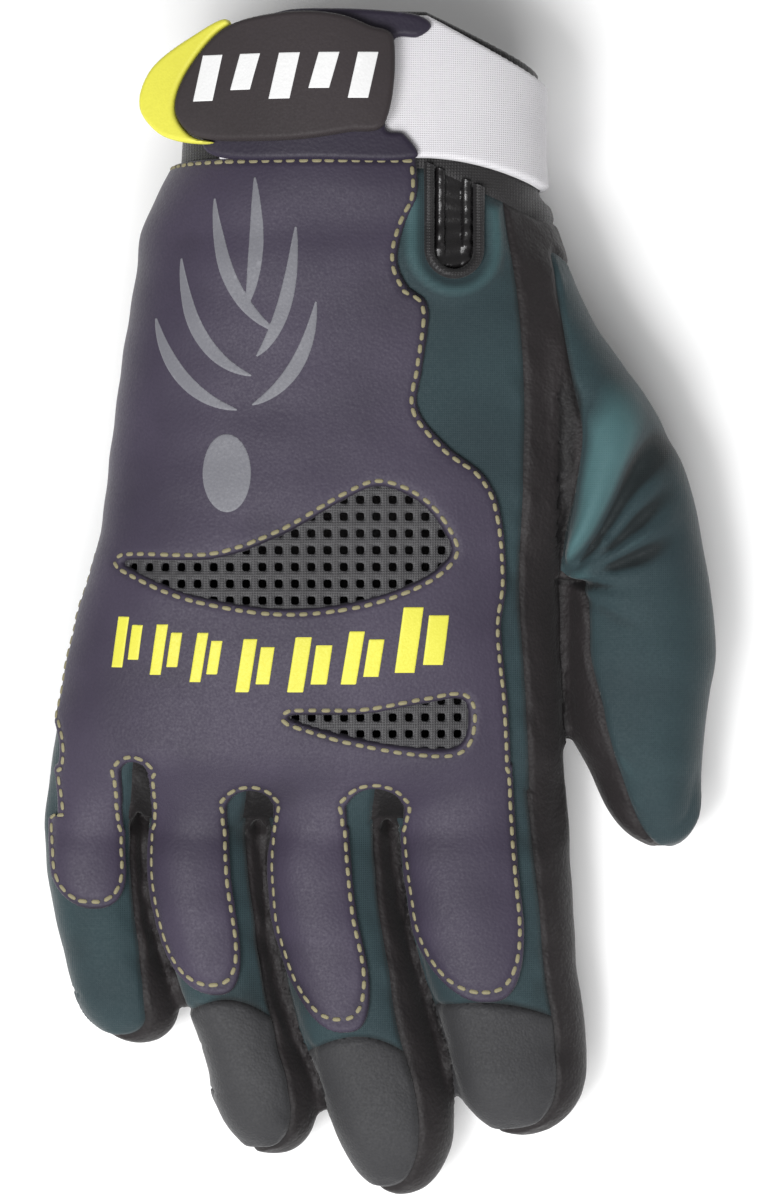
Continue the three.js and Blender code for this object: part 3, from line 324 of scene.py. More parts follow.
def refine(data, tris, flag):
    """Splits the edges between flagged vertices, with the new ones on the curved surface."""
    n = len(data)
    a, b, sides = edges_of(tris, n)
    split = flag[a] & flag[b]
    fresh = np.full(len(a), -1)
    fresh[split] = n + np.arange(split.sum())
    p, q = data[a[split]], data[b[split]]
    middle = (p + q) / 2
    for end in (p, q):
        lift = ((middle[:, :3] - end[:, :3]) * end[:, 3:6]).sum(1, keepdims=True)
        middle[:, :3] -= 0.5 * np.clip(lift, -0.06, 0.06) * end[:, 3:6]
    middle[:, 3:6] /= np.linalg.norm(middle[:, 3:6], axis=1, keepdims=True)
    m = fresh[sides]
    count = (m >= 0).sum(1)
    out = [tris[count == 0]]
    t, q = tris[count == 3], m[count == 3]
    out += [np.stack(c, 1) for c in (
        (t[:, 0], q[:, 0], q[:, 2]), (q[:, 0], t[:, 1], q[:, 1]), (q[:, 2], q[:, 1], t[:, 2]),
        (q[:, 0], q[:, 1], q[:, 2]))]
    t, q = tris[count == 1], m[count == 1]
    k = np.argmax(q >= 0, 1)
    row = np.arange(len(t))
    v0, v1, v2, mid = t[row, k], t[row, (k + 1) % 3], t[row, (k + 2) % 3], q[row, k]
    out += [np.stack([v0, mid, v2], 1), np.stack([mid, v1, v2], 1)]
    return np.concatenate([data, middle]), np.concatenate(out)


def clip(patch, value):
    """The part of a patch where value is over 0, and the segments of its new edge."""
    data, tris = patch
    n = len(data)
    a, b, sides = edges_of(tris, n)
    inside = value > 0
    cross = inside[a] != inside[b]
    fresh = np.full(len(a), -1)
    fresh[cross] = n + np.arange(cross.sum())
    va, vb = value[a[cross]], value[b[cross]]
    t = (va / (va - vb))[:, None]
    new = data[a[cross]] * (1 - t) + data[b[cross]] * t
    m = fresh[sides]
    count = inside[tris].sum(1)
    out, segments = [tris[count == 3]], []
    for number, lone in ((1, np.argmax), (2, np.argmin)):
        part, q = tris[count == number], m[count == number]
        k, row = lone(inside[part], 1), np.arange(len(part))
        e0, e2 = q[row, k], q[row, (k + 2) % 3]
        v0, v1, v2 = (part[row, (k + j) % 3] for j in range(3))
        if number == 1:
            out.append(np.stack([v0, e0, e2], 1))
            segments.append(np.stack([e0, e2], 1))
        else:
            out += [np.stack([e0, v1, v2], 1), np.stack([e0, v2, e2], 1)]
            segments.append(np.stack([e2, e0], 1))
    tris, every = np.concatenate(out), np.concatenate([data, new])
    used, flat = np.unique(tris, return_inverse=True)
    return (every[used], flat.reshape(-1, 3)), (every, np.concatenate(segments))


def chains(every, segments):
    """Ordered runs of points along cut segments."""
    following = dict(segments.tolist())
    ends, runs = set(following.values()), []
    for a in [a for a in following if a not in ends] + list(following):
        if a in following:
            run = [a]
            while run[-1] in following:
                run.append(following.pop(run[-1]))
            runs.append(every[run])
    return runs


def closed_curve(points, count=160):
    """Smooth closed outline through points, evenly sampled between them."""
    pts = np.asarray(points, float)
    pts = np.concatenate([pts[-3:], pts, pts[:4]])
    place = np.concatenate([[0], np.cumsum(np.linalg.norm(np.diff(pts, axis=0), axis=1) ** 0.5)])
    at = np.linspace(place[3], place[-4], count, endpoint=False)
    return np.stack([column(np.stack([place, pts[:, k]], 1), at, 1) for k in (0, 1)], 1)


def palm_outline(shares):
    return closed_curve([(x * PALM_WIDTH, y * PALM_LENGTH) for x, y in shares])


def tab_outline(shares):
    middle = STRAP_LOW_Y + STRAP_WIDTH / 2
    return closed_curve([(TAB_EDGE * PALM_WIDTH + x * TAB_LENGTH, middle + y * TAB_WIDTH) for x, y in shares])


def inside_outline(points, outline, margin=6.0):
    """Distance in plan to a closed outline, positive inside."""
    value = np.full(len(points), -margin)
    near = ((points > outline.min(0) - margin) & (points < outline.max(0) + margin)).all(1)
    p, a = points[near], outline
    b = np.roll(a, -1, 0)
    best, odd = np.full(len(p), 1e9), np.zeros(len(p), bool)
    for (ax, ay), (bx, by) in zip(a, b):
        dx, dy = bx - ax, by - ay
        t = unit(((p[:, 0] - ax) * dx + (p[:, 1] - ay) * dy) / (dx * dx + dy * dy))
        best = np.minimum(best, (p[:, 0] - ax - t * dx) ** 2 + (p[:, 1] - ay - t * dy) ** 2)
        if ay != by:
            odd ^= ((ay > p[:, 1]) != (by > p[:, 1])) & (p[:, 0] < dx * (p[:, 1] - ay) / dy + ax)
    value[near] = np.where(odd, 1, -1) * np.sqrt(best)
    return value


def side_of(rows, p):
    """Distance to the left of a line given as x over y."""
    table = [(y * PALM_LENGTH, x * PALM_WIDTH) for x, y in rows]
    x = column(table, p[:, 1], 1)
    slope = column(table, p[:, 1] + 0.5, 1) - column(table, p[:, 1] - 0.5, 1)
    return (x - p[:, 0]) / np.sqrt(1 + slope**2)


def soft_min(a, b, k):
    h = unit(0.5 + (b - a) / (2 * k))
    return b + (a - b) * h - k * h * (1 - h)


def oval(dx, dy, w, length, power):
    """Positive inside a squared oval, close to the distance near its edge."""
    rho = (np.abs(dx / w) ** power + np.abs(dy / length) ** power) ** (1 / power)
    return (1 - rho) * np.minimum(w, length)


def digit_frame(digit, p):
    s = (PALM_LENGTH * digit["start"] - p[:, 1]) / digit["length"]
    return s, digit_section(digit, s)


def wrist_line(x, y, fall, power=1.0, far_fall=0.0):
    """Height in plan of a line across the wrist that falls to the thumb side."""
    start, end = FALL_START * WRIST_WIDTH, WRIST_ROWS[-1][2] * WRIST_WIDTH
    far = WRIST_ROWS[-1][1] * WRIST_WIDTH
    t = unit((x - start) / (end - start))
    drop = np.interp(x, [far, 0.7 * far, 0.4 * far], [far_fall, 0.3 * far_fall, 0])
    return y - fall * t**power - drop


def cuff_line(x):
    return wrist_line(x, CUFF_SEAM_Y, 0.28 * CUFF_LENGTH)


def mouth_line(x):
    return wrist_line(x, MOUTH_Y, 0.31 * CUFF_LENGTH, 1, 0.2 * CUFF_LENGTH)


def strap_line(x):
    return wrist_line(x, STRAP_LOW_Y, 0.145 * CUFF_LENGTH, 1.8)


def root_edge(name, u):
    """Place across the hand of a line at the share u of a finger's half width, at its root."""
    digit = DIGITS[name]
    return PALM_WIDTH * digit["root"] + u * digit["width"] * digit["rows"][1][2] / 2


def finger_field(name, p):
    digit = DIGITS[name]
    s, sec = digit_frame(digit, p)
    u = column(digit["seam"], s, 1)
    turn = 1 - digit["round"]
    dx = p[:, 0] - sec["x"]
    straight = u * sec["half"] - dx
    seam = column(digit["seam"], np.full(len(p), turn), 1)
    side = dx - sec["half"] * (seam - 1) / 2
    w = sec["half"] * (seam + 1) / 2 * np.where(side < 0, 1.06, 1)
    reach = digit["round"] * digit["length"] - TIP_MARGIN
    tip = oval(side, (s - turn) * digit["length"], w, reach, np.where(side < 0, 3.3, 2.35))
    return np.where(s > turn, np.minimum(tip, straight), straight)


def notch_of(outer, inner, top, p):
    """Distances in one notch between two fingers: past the outer finger's seam, to the inner, to the top."""
    seam = root_edge(outer, DIGITS[outer]["seam"][0][1])
    edge = root_edge(inner, DIGITS[inner]["lobe"][0])
    rise = p[:, 1] - CROTCH_Y
    return p[:, 0] - seam - 0.1 * rise, edge - p[:, 0], PALM_LENGTH * top - p[:, 1]


def finger_gap(name, p):
    """Distance across to a finger's side, growing past its tip."""
    s, sec = digit_frame(DIGITS[name], p)
    return np.abs(p[:, 0] - sec["x"]) - sec["half"] + np.maximum(s - 1, 0) * 200


def own_room(name, p):
    """Positive nearer this finger than any other, short of the valley on its outer side."""
    room = np.min([finger_gap(other, p) for other in FINGERS if other != name], 0) - finger_gap(name, p)
    sec = digit_frame(DIGITS[name], p)[1]
    return np.where(p[:, 0] < sec["x"], room - VALLEY_SETBACK, room)


def thumb_field(p):
    x, y, z = p.T[:3]
    plan = -side_of(THUMB_EDGE, p)
    palm_edge = column(HAND_ROWS, y, 2)
    other = np.where(y > CROTCH_Y, x - palm_edge, finger_gap("index", p))
    apart = other - finger_gap("thumb", p)
    w = unit((y - THUMB_CROTCH_Y + 1.5) / 3)
    corner = np.where(z > SEAM_HEIGHT, THUMB_TOP - y - 0.6 * (x - 33), 30)
    return soft_min(apart * (1 - w) + plan * w, corner, 1.5)


def thumb_back_field(p):
    digit = DIGITS["thumb"]
    s, sec = digit_frame(digit, p)
    over = unit((s - 1 + digit["round"]) / digit["round"])
    x = sec["x"] + column(digit["seam"], s, 1) * sec["half"] * np.sqrt(1 - over**2)
    start = digit["seam"][0][0]
    return np.minimum(np.where(s > start, p[:, 0] - x, 30), p[:, 2] - SEAM_HEIGHT)


def rise_of(p):
    return p[:, 1] - CROTCH_Y + 3


def notch_share(p):
    """From 0 to 0.85 where a gap between two fingers runs on into the hand."""
    total = np.zeros(len(p))
    for notch in NOTCHES:
        past, room, below = notch_of(*notch, p)
        share = (past - room) / np.maximum(past + room, 1)
        fade = unit(below / 11) * unit((rise_of(p) + 3) / 3)
        total += 0.8 * fade * unit(1.15 - share**2)
    return np.minimum(total, 0.85)


def slot_field(p):
    """Positive in the black slots that run on from the gaps between the fingers."""
    slots = []
    for notch in NOTCHES:
        past, room, below = notch_of(*notch, p)
        slots.append(np.min([past, room + 3, below + 1, rise_of(p)], 0))
    return np.max(slots, 0)


def back_field(p):
    low = PALM_LENGTH * (CROTCH + 0.025)
    value = np.minimum(side_of(STRIP_EDGE, p), p[:, 1] - low)
    for name in FINGERS:
        f = finger_field(name, p)
        s = (CROTCH_Y - p[:, 1]) / DIGITS[name]["length"]
        f = np.where(s < -0.1, -30, np.minimum(f, np.where(s > 0, own_room(name, p), 30)))
        value = np.maximum(value, f)
    return np.min([value, -slot_field(p), p[:, 2] - SEAM_HEIGHT], 0)


def cap_field(name, p):
    digit = DIGITS[name]
    place, u, drop = digit["cap"]
    sec = digit_section(digit, place)
    side = np.clip((p[:, 0] - sec["x"] - u * sec["half"]) / (digit["width"] / 2), -1.4, 1.4)
    arc = digit_y(digit, place) - drop * digit["length"] * side**2
    return np.minimum(arc - p[:, 1], own_room(name, p))


def slit_field(p, inset):
    centre, half = SLIT_X, SLIT_WIDTH / 2 - inset
    bottom = CUFF_SEAM_Y - SLIT_LENGTH + SLIT_WIDTH / 2
    dx = p[:, 0] - centre
    dy = np.minimum(p[:, 1] - bottom, 0)
    return np.where(p[:, 2] > SEAM_HEIGHT, half - np.hypot(dx, dy), -20)


def strap_field(p):
    x, y = p.T[:2]
    low = y - strap_line(x)
    high = wrist_line(x, STRAP_LOW_Y + STRAP_WIDTH, 0.31 * CUFF_LENGTH + 1.9) - y
    mouth = mouth_line(x) - 0.9 - y
    return np.min([low, high, mouth, x - STRAP_END * WRIST_WIDTH], 0)


def overlay_field(p):
    x, y, z = p.T[:3]
    low = PALM_LENGTH * (CROTCH + 0.005)
    value = np.min([side_of(OVERLAY_EDGE, p), -side_of(OVERLAY_SIDE, p), y - low], 0)
    for name in FINGERS:
        digit = DIGITS[name]
        left, right, turn, end = digit["lobe"]
        s, sec = digit_frame(digit, p)
        dx = x - sec["x"] - sec["half"] * (left + right) / 2
        w = sec["half"] * (right - left) / 2
        tip = oval(dx, (s - turn) * digit["length"], w, (end - turn) * digit["length"], 2.5)
        lobe = np.where(s > turn, tip, w - np.abs(dx))
        value = -soft_min(-value, -np.minimum(lobe, CROTCH_Y + 9 - y), 0.8)
    for outer, inner, top in NOTCHES:
        left = root_edge(outer, DIGITS[outer]["lobe"][1])
        right = root_edge(inner, DIGITS[inner]["lobe"][0])
        half = (right - left) / 2
        dx = x - (left + right) / 2
        dy = y - (PALM_LENGTH * top - 0.8 * half)
        notch = np.where(dy > 0, oval(dx, dy, half, 0.8 * half, 2), half - np.abs(dx))
        notch = np.where(y < CROTCH_Y - 4, -30, notch)
        value = soft_min(value, -notch, 0.8)
    side = np.where(y > -45, np.interp(y, [-25, 5, 28], [20, 20, 10.5]), 12)
    windows = [-inside_outline(p[:, :2], outline) for outline in (LARGE, SMALL)]
    return np.min([value, z - side, strap_line(x) + 0.5 - y, *windows], 0)


def slope_of(value, data, tris):
    """How fast a field changes along the surface at each vertex."""
    a, b, _ = edges_of(tris, len(data))
    rate = np.abs(value[a] - value[b]) / np.maximum(np.linalg.norm(data[a, :3] - data[b, :3], axis=1), 1e-6)
    out = np.zeros(len(data))
    np.maximum.at(out, a, rate)
    np.maximum.at(out, b, rate)
    return np.clip(out, 0.35, 1.4)


def waves(p, length, seed):
    """Smooth irregular waves of about one length, between -1 and 1."""
    rng = np.random.default_rng(seed)
    total = np.zeros(len(p))
    for _ in range(7):
        way = rng.normal(size=3)
        way /= np.linalg.norm(way)
        total += np.sin(p[:, :3] @ way * (2 * np.pi / length * rng.uniform(0.75, 1.3)) + rng.uniform(0, 6.28))
    return total / 3.2


# Through the relief tint, the valleys of these folds also take painted shade and their ridges painted
# highlight
# Folds that fan out of the thumb's crotch: direction in degrees, start, end, depth, width per distance
CROTCH_FOLDS = [(72, 3, 46, -2.0, 0.13), (54, 4, 40, 3.4, 0.085), (38, 6, 32, 2.8, 0.08),
                (20, 5, 28, 2.4, 0.085), (-3, -2, 17, 2.0, 0.1), (-30, 4, 22, 0.8, 0.12)]


def fold_relief(p):
    """Folds and swells of the filled cloth."""
    total = 0.3 * waves(p, 34, 3) + 0.13 * waves(p, 13, 4)
    dx = p[:, 0] - 0.3355 * PALM_WIDTH
    dy = p[:, 1] - THUMB_CROTCH_Y
    r = np.hypot(dx, dy)
    top = unit((p[:, 2] - 8) / 6) * (dx > -1)
    for angle, near, far, depth, width in CROTCH_FOLDS:
        a = math.radians(angle)
        forward = dx * math.cos(a) + dy * math.sin(a)
        aside = dy * math.cos(a) - dx * math.sin(a) + 0.8 * np.sin(forward / 7)
        w = 0.5 + width * r
        env = unit((forward - near) / 6) * unit((far - forward) / 12)
        dent = bump(aside, w) - 0.55 * bump(aside - 2 * w, 1.5 * w)
        total -= top * depth * env * dent
    return total


def to_mesh(name, verts, tris, relief=None):
    """Smooth mesh with its sharp edges marked, from arrays in millimetres."""
    mesh = bpy.data.meshes.new(name)
    mesh.from_pydata((verts / 1000).tolist(), [], tris.tolist(), shade_flat=False)
    mesh.validate()
    mesh.set_sharp_from_angle(angle=math.radians(SHARP_ANGLE))
    if relief is not None:
        mesh.attributes.new("relief", "FLOAT", "POINT").data.foreach_set("value", relief)
    return mesh


def add_piece(name, mesh, material, replaced=()):
    obj = linked(name, mesh)
    mesh.materials.append(material)
    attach(obj, "root")
    if replaced:
        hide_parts(*replaced)
    return obj


def shell_arrays(patch, outer, inner):
    """Closed body between two offsets of a patch along its normals."""
    data, tris = patch
    n = len(data)
    top, low = (data[:, :3] + data[:, 3:6] * np.reshape(offset, (-1, 1)) for offset in (outer, inner))
    top[:, 2], low[:, 2] = np.maximum(top[:, 2], 0.02), np.maximum(low[:, 2], 0.04)
    pairs = np.stack([tris, np.roll(tris, -1, 1)], 2).reshape(-1, 2)
    _, first, count = np.unique(
        np.sort(pairs, 1) @ np.array([n, 1]), return_index=True, return_counts=True)
    rim = pairs[first[count == 1]]
    a, b = rim[:, 0], rim[:, 1]
    walls = np.concatenate([np.stack([a, a + n, b], 1), np.stack([b, a + n, b + n], 1)])
    return np.concatenate([top, low]), np.concatenate([tris, tris[:, ::-1] + n, walls])


def room_inside(data, wall):
    """The wall's thickness, less where the opposite surface is near."""
    wall = np.broadcast_to(wall, len(data)).copy()
    for k in np.flatnonzero(data[:, 1] < -36):
        p, n = Vector(data[k, :3]), Vector(data[k, 3:6])
        hit = tree.ray_cast(p - 0.3 * n, -n, 4)[3]
        if hit is not None:
            wall[k] = min(wall[k], 0.4 * (hit + 0.3))
    return wall


def shell(name, patch, outer, inner, material, replaced=(), relief=None):
    """A patch with a wall as one piece; relief is the height that paints shade into its valleys and highlight
    onto its ridges, where the material reads it.
    """
    relief = np.tile(np.broadcast_to(outer if relief is None else relief, len(patch[0])), 2)
    return add_piece(name, to_mesh(name, *shell_arrays(patch, outer, inner), relief), material, replaced)


# Materials whose colour takes painted shade in the valleys of folds and seam grooves and a painted highlight
# on ridges, from the height of their relief; the others take painted shade in concave spots and a worn colour
# on sharp edges
RELIEF_SHADED = ["teal_stretch", "black_leather", "dark_cap", "purple_leather"]


def linear(code):
    rgb = [int(code[k:k + 2], 16) / 255 for k in (0, 2, 4)]
    return [c / 12.92 if c <= 0.04045 else ((c + 0.055) / 1.055) ** 2.4 for c in rgb] + [1]


def feed(net, node, values):
    """Links or sets the inputs of a node."""
    for key, value in values.items():
        if isinstance(value, bpy.types.NodeSocket):
            net.links.new(value, node.inputs[key])
        else:
            node.inputs[key].default_value = value


def finish_of(name, colours, rough, sheen=0.0, specular=0.5, weave=0.0, grain=0.0, crease=0.3, depth=0.12,
              blotch=0.6, painted_shade_colour="131214"):
    """Cloth, leather or rubber in its main, deep and worn colours, with a weave or grain of a size in mm.

    Painted shade darkens its valleys; where the relief tints it, the worn colour is also a painted highlight
    on ridges.
    """
    colour, deep, worn = (linear(code) for code in colours.split())
    material = bpy.data.materials.new(name)
    material.use_nodes = True
    net = material.node_tree
    shader = next(node for node in net.nodes if node.type == "BSDF_PRINCIPLED")

    def made(kind, output=0, values=(), **settings):
        node = net.nodes.new("ShaderNode" + kind)
        for key, value in settings.items():
            setattr(node, key, value)
        feed(net, node, dict(values))
        return node.outputs[output]

    def noise(scale, detail, roughness=0.5):
        return made("TexNoise", "Fac", {
            "Vector": coords, "Scale": scale, "Detail": detail, "Roughness": roughness})

    def remap(value, low, high, to_low, to_high):
        return made("MapRange", 0, {
            "Value": value, "From Min": low, "From Max": high, "To Min": to_low, "To Max": to_high})

    def calc(operation, a, b):
        return made("Math", 0, {0: a, 1: b}, operation=operation)

    def blend(factor, a, b):
        return made("Mix", 2, {0: factor, 6: a, 7: b}, data_type="RGBA")

    coords = made("TexCoord", "Object")
    fine = noise(1900, 2)
    tint = blend(remap(noise(38, 3), 0.35, 0.68, 0, blotch), colour, deep)
    tint = blend(remap(fine, 0.3, 0.72, 0, 0.35), tint, deep)
    if name in RELIEF_SHADED:
        relief = made("Attribute", "Fac", attribute_name="relief")
        # Painted shade in the valleys of the relief, and the worn colour as a painted highlight on its ridges
        tint = blend(remap(relief, -0.2, -0.9, 0, 0.95), tint, linear(painted_shade_colour))
        edge = remap(relief, 0.35, 2.2, 0, 0.65)
    else:
        point = made("NewGeometry", "Pointiness")
        # Painted shade in concave spots; the worn colour on sharp convex edges
        tint = blend(remap(point, 0.49, 0.42, 0, 0.7), tint, linear(painted_shade_colour))
        edge = remap(point, 0.52, 0.6, 0, 0.4)
    height = calc("MULTIPLY", fine, 0.25)
    if weave:
        bands = [made("TexWave", "Fac", {
            "Vector": coords, "Scale": 314 / weave, "Distortion": 1.2, "Detail": 1, "Detail Scale": 0.4},
            bands_direction=way) for way in ("X", "Y")]
        height = calc("ADD", height, calc("MULTIPLY", *bands))
    if grain:
        cells = made("TexVoronoi", "Distance", {"Vector": coords, "Scale": 1000 / grain}, feature="SMOOTH_F1")
        height = calc("ADD", height, cells)
    height = calc("ADD", height, calc("MULTIPLY", noise(260, 4, 0.6), crease * 6))
    feed(net, shader, {
        "Base Color": blend(edge, tint, worn),
        "Normal": made("Bump", "Normal", {"Strength": 0.8, "Distance": depth / 1000, "Height": height}),
        "Roughness": remap(fine, 0.3, 0.7, rough - 0.07, rough + 0.07),
        "Sheen Weight": sheen, "Sheen Roughness": 0.45, "Specular IOR Level": specular})
    return material


# The last colour given is the painted shade in valleys and grooves; for black_leather, teal_stretch,
# purple_leather and dark_cap the third colour is also a painted highlight on ridges
LEATHER = finish_of("black_leather", "242021 181516 3e3937", 0.62, sheen=0.08, specular=0.28,
                    grain=0.75, crease=0.5, depth=0.13, painted_shade_colour="0e0c0d")
TEAL = finish_of("teal_stretch", "273a3e 1d2b30 4c7174", 0.75, sheen=0.15, specular=0.35, weave=0.45,
                 crease=0.5, depth=0.06, painted_shade_colour="11191b")
PURPLE = finish_of("purple_leather", "3c3546 2c2636 544b60", 0.6, sheen=0.08, specular=0.35, grain=0.6,
                   crease=0.2, depth=0.06, blotch=0.8, painted_shade_colour="1d1825")
TAB_PURPLE = finish_of("tab_leather", "2a2434 201b29 3e364d", 0.55, specular=0.35, grain=0.6,
                       crease=0.2, depth=0.05)
VENT = finish_of("dark_vent", "373638 282729 525254", 0.55, weave=0.5, crease=0.1)
CAP = finish_of("dark_cap", "343436 262628 464648", 0.7, sheen=0.15, specular=0.35, grain=0.5, crease=0.4)
NEOPRENE = finish_of("black_neoprene", "1d1b1c 131213 333134", 0.6, sheen=0.1, weave=0.6)
STRAP = finish_of("pale_strap", "d8d6d9 cbc9ce ebeaec", 0.6, sheen=0.1, weave=0.45, crease=0.1, blotch=0.5)
BLACK_RUBBER = finish_of("black_rubber", "352f31 2a2526 4c4748", 0.6, specular=0.25, grain=0.5,
                         crease=0.1, depth=0.03)
RIB_RUBBER = finish_of("rib_rubber", "1a1819 100f10 3a3839", 0.3, grain=0.4, depth=0.05)
YELLOW_RUBBER = finish_of("yellow_rubber", "d6d24a c3be3f e4e070", 0.5, specular=0.3, grain=0.4,
                          crease=0.1, depth=0.04)
THREAD = finish_of("stitch_thread", "827b5d 625d46 989274", 0.65, specular=0.3, weave=0.3, crease=0.1,
                   depth=0.05)
GREY_PRINT = finish_of("grey_print", "717177 606067 85858b", 0.55, specular=0.35, grain=0.6, depth=0.05)
WHITE_PRINT = finish_of("white_print", "e2e2e2 d0d0d0 f4f4f4", 0.5, grain=0.5, depth=0.04)

# The joined skin, split finer near its seams, with the distance to each seam beside each vertex
CUFF, MOUTH, THUMB, THUMB_BACK, BACK, CAPS, SLIT = range(6, 13)


def seam_fields(p):
    return np.stack([
        p[:, 1] - cuff_line(p[:, 0]), mouth_line(p[:, 0]) - p[:, 1],
        thumb_field(p), thumb_back_field(p), back_field(p),
        np.max([cap_field(name, p) for name in FINGERS if DIGITS[name]["cap"]], 0),
        slit_field(p, 0),
    ], 1)


def seam_gap(g):
    """Distance to the nearest seam, growing past the seam's own ends."""
    cuff, mouth, thumb, thumb_back, back, cap, slit = g.T
    over = lambda value: np.maximum(value, 0)
    return np.min([
        np.abs(cuff), np.abs(thumb) + over(cuff), np.abs(thumb_back) + over(-thumb) + over(cuff),
        np.abs(back) + over(thumb) + over(cuff), np.abs(cap) + over(-back)], 0)


def skin_relief(data):
    """How far the worn skin stands off its smooth shape."""
    p, g = data[:, :3], data[:, 13:20]
    gap = seam_gap(g)
    pucker = 0.22 * waves(p, 6, 8) * bump(gap - 1.6, 1.6)
    slit = np.where(data[:, SLIT] > -12, -data[:, SLIT], 30)
    roll = 1.3 * bump(slit - 2.6, 1.7) * unit((CUFF_SEAM_Y - 2 - p[:, 1]) / 5)
    roll *= unit((gap - 0.4) / 2.6)
    # Through the relief tint, the seam grooves also take painted shade and the roll beside the slit a painted
    # highlight
    return fold_relief(p) + pucker + roll - GROOVE_DEPTH * bump(gap, GROOVE_WIDTH)


def keep(patch, *cuts):
    """Cuts a patch by its columns or by given values, keeping where each is over 0."""
    for column_of in cuts:
        patch = clip(patch, column_of(patch[0]))[0]
    return patch


verts, tris = union_skin(VOXEL)
base = np.hstack([verts, vertex_normals(verts, tris)])
base_patch = (base, tris)
tree = BVHTree.FromPolygons(
    (base[:, :3] + base[:, 3:6] * fold_relief(base[:, :3])[:, None]).tolist(), tris.tolist())

fields = seam_fields(base)
near = np.minimum(seam_gap(fields), np.minimum(np.abs(fields[:, 6]), np.abs(fields[:, 1]))) < 2.0
data, fine_tris = refine(base, tris, near)
fields = seam_fields(data)
near = np.stack([
    fields[:, k] if k < 2 else fields[:, k] / slope_of(fields[:, k], data, fine_tris) for k in range(7)], 1)
skin = (np.hstack([data, fields, near]), fine_tris)

LARGE, SMALL = palm_outline(LARGE_WINDOW), palm_outline(SMALL_WINDOW)
hand = keep(skin, lambda d: -d[:, CUFF])
thumb = keep(hand, lambda d: d[:, THUMB])
body = keep(hand, lambda d: -d[:, THUMB])
back = keep(body, lambda d: d[:, BACK])
palm = keep(body, lambda d: -d[:, BACK])


def skin_piece(name, node, patch, material, wall, swell=0, shade=0):
    """A panel of the worn skin with its wall inwards; shade darkens its colour alone."""
    r = skin_relief(patch[0])
    return shell(name, patch, r + swell, r - wall, material, [node], r + swell - shade)


# The padded palm is thicker low down, away from the fingers
place = palm[0]
wall = 1.4 + 1.4 * unit((14 - place[:, 2]) / 8) * unit((place[:, 1] + 40) / 12)
# Painted shade darkens the black slots that run on from the gaps between the fingers
palm_obj = skin_piece("palm_leather", "palm_panel", palm, LEATHER, room_inside(place, wall),
                      shade=1.2 * unit(slot_field(place) / 1.5))

panel = keep(
    back, lambda d: -d[:, CAPS], lambda d: -slit_field(d, 0.95),
    lambda d: -inside_outline(d[:, :2], LARGE) - 1.0, lambda d: -inside_outline(d[:, :2], SMALL) - 1.0)
skin_piece("back_cloth", "back_panel", panel, TEAL, room_inside(panel[0], BACK_WALL))

caps = keep(back, lambda d: d[:, CAPS])
for name in ("index", "middle", "ring"):
    cap = keep(caps, lambda d: own_room(name, d))
    swell = 0.3 * (1 - np.exp(-np.abs(cap[0][:, CAPS + 7]) / 1.2))
    skin_piece(f"cap_{name}_leather", f"cap_{name}", cap, CAP, room_inside(cap[0], BACK_WALL), swell)

skin_piece("thumb_front_leather", "thumb_front", keep(thumb, lambda d: -d[:, THUMB_BACK]), LEATHER, BACK_WALL)
skin_piece("thumb_back_cloth", "thumb_back", keep(thumb, lambda d: d[:, THUMB_BACK]), TEAL, BACK_WALL)

cuff = keep(skin, lambda d: d[:, CUFF], lambda d: d[:, MOUTH])
t = unit(cuff[0][:, MOUTH] / 1.1)
r = fold_relief(cuff[0]) * 0.4 - GROOVE_DEPTH * bump(cuff[0][:, CUFF], GROOVE_WIDTH)
round_off = 1.1 * (1 - np.sqrt(1 - (1 - t) ** 2))
rim = 0.35 * bump(cuff[0][:, MOUTH] - 1.2, 1)
cuff_obj = shell("cuff_sleeve", cuff, r + rim - round_off, r - CUFF_WALL + round_off - rim, NEOPRENE,
                 ["cuff"])


def rounded(d, radius, low, high):
    """Height of an edge rounded over a radius, from low at the edge to high inside."""
    t = unit(d / radius)
    return low + (high - low) * np.sqrt(1 - (1 - t) ** 2)


def edged(patch, field, band):
    """A patch cut by a field, with finer triangles near the edge and the distance as a last column."""
    data, tris = keep(patch, lambda d: field(d) + 4)
    data, tris = refine(data, tris, np.abs(field(data) - 0.5 * band) < band)
    value = field(data)
    near = value / slope_of(value, data, tris)
    return clip((np.hstack([data, value[:, None], near[:, None]]), tris), value)[0]


# The overlay and its stitches
STITCH_INSET = 1.2
overlay = edged(base_patch, overlay_field, 2.2)
d = overlay[0][:, -1]
fold = fold_relief(overlay[0])
sewn = overlay[0][:, -2] - STITCH_INSET
outer = fold + rounded(d, 1.3, 0.1, OVERLAY_TOP) - 0.3 * bump(sewn, 0.5)
overlay = (np.hstack([overlay[0], outer[:, None]]), overlay[1])
# Its colour is darker along its edge, and painted shade darkens the stitch groove
shell("overlay_leather", overlay, outer, fold - 0.25, PURPLE, ["knuckle_overlay"],
      fold - 1.0 * bump(d, 0.55) - 0.3 * bump(sewn, 0.6))


# A thread's shape: share of its length, share of its thickness there
THREAD_PROFILE = [(-0.5, 0.45), (-0.36, 0.9), (0, 1), (0.36, 0.9), (0.5, 0.45)]


def thread_shape():
    """Points of one stitch of unit length, width and height, and its triangles."""
    points, tris = [], []
    for place, size in THREAD_PROFILE:
        for angle in np.arange(6) * np.pi / 3:
            points.append((place, math.cos(angle) * size / 2, math.sin(angle) * size / 2))
    for a in range(24):
        b = a - a % 6 + (a + 1) % 6
        tris += [(a, b, b + 6), (a, b + 6, a + 6)]
    for a in range(6):
        b = (a + 1) % 6
        tris += [(30, b, a), (31, 24 + a, 24 + b)]
    return np.array(points + [(-0.53, 0, 0), (0.53, 0, 0)]), np.array(tris)


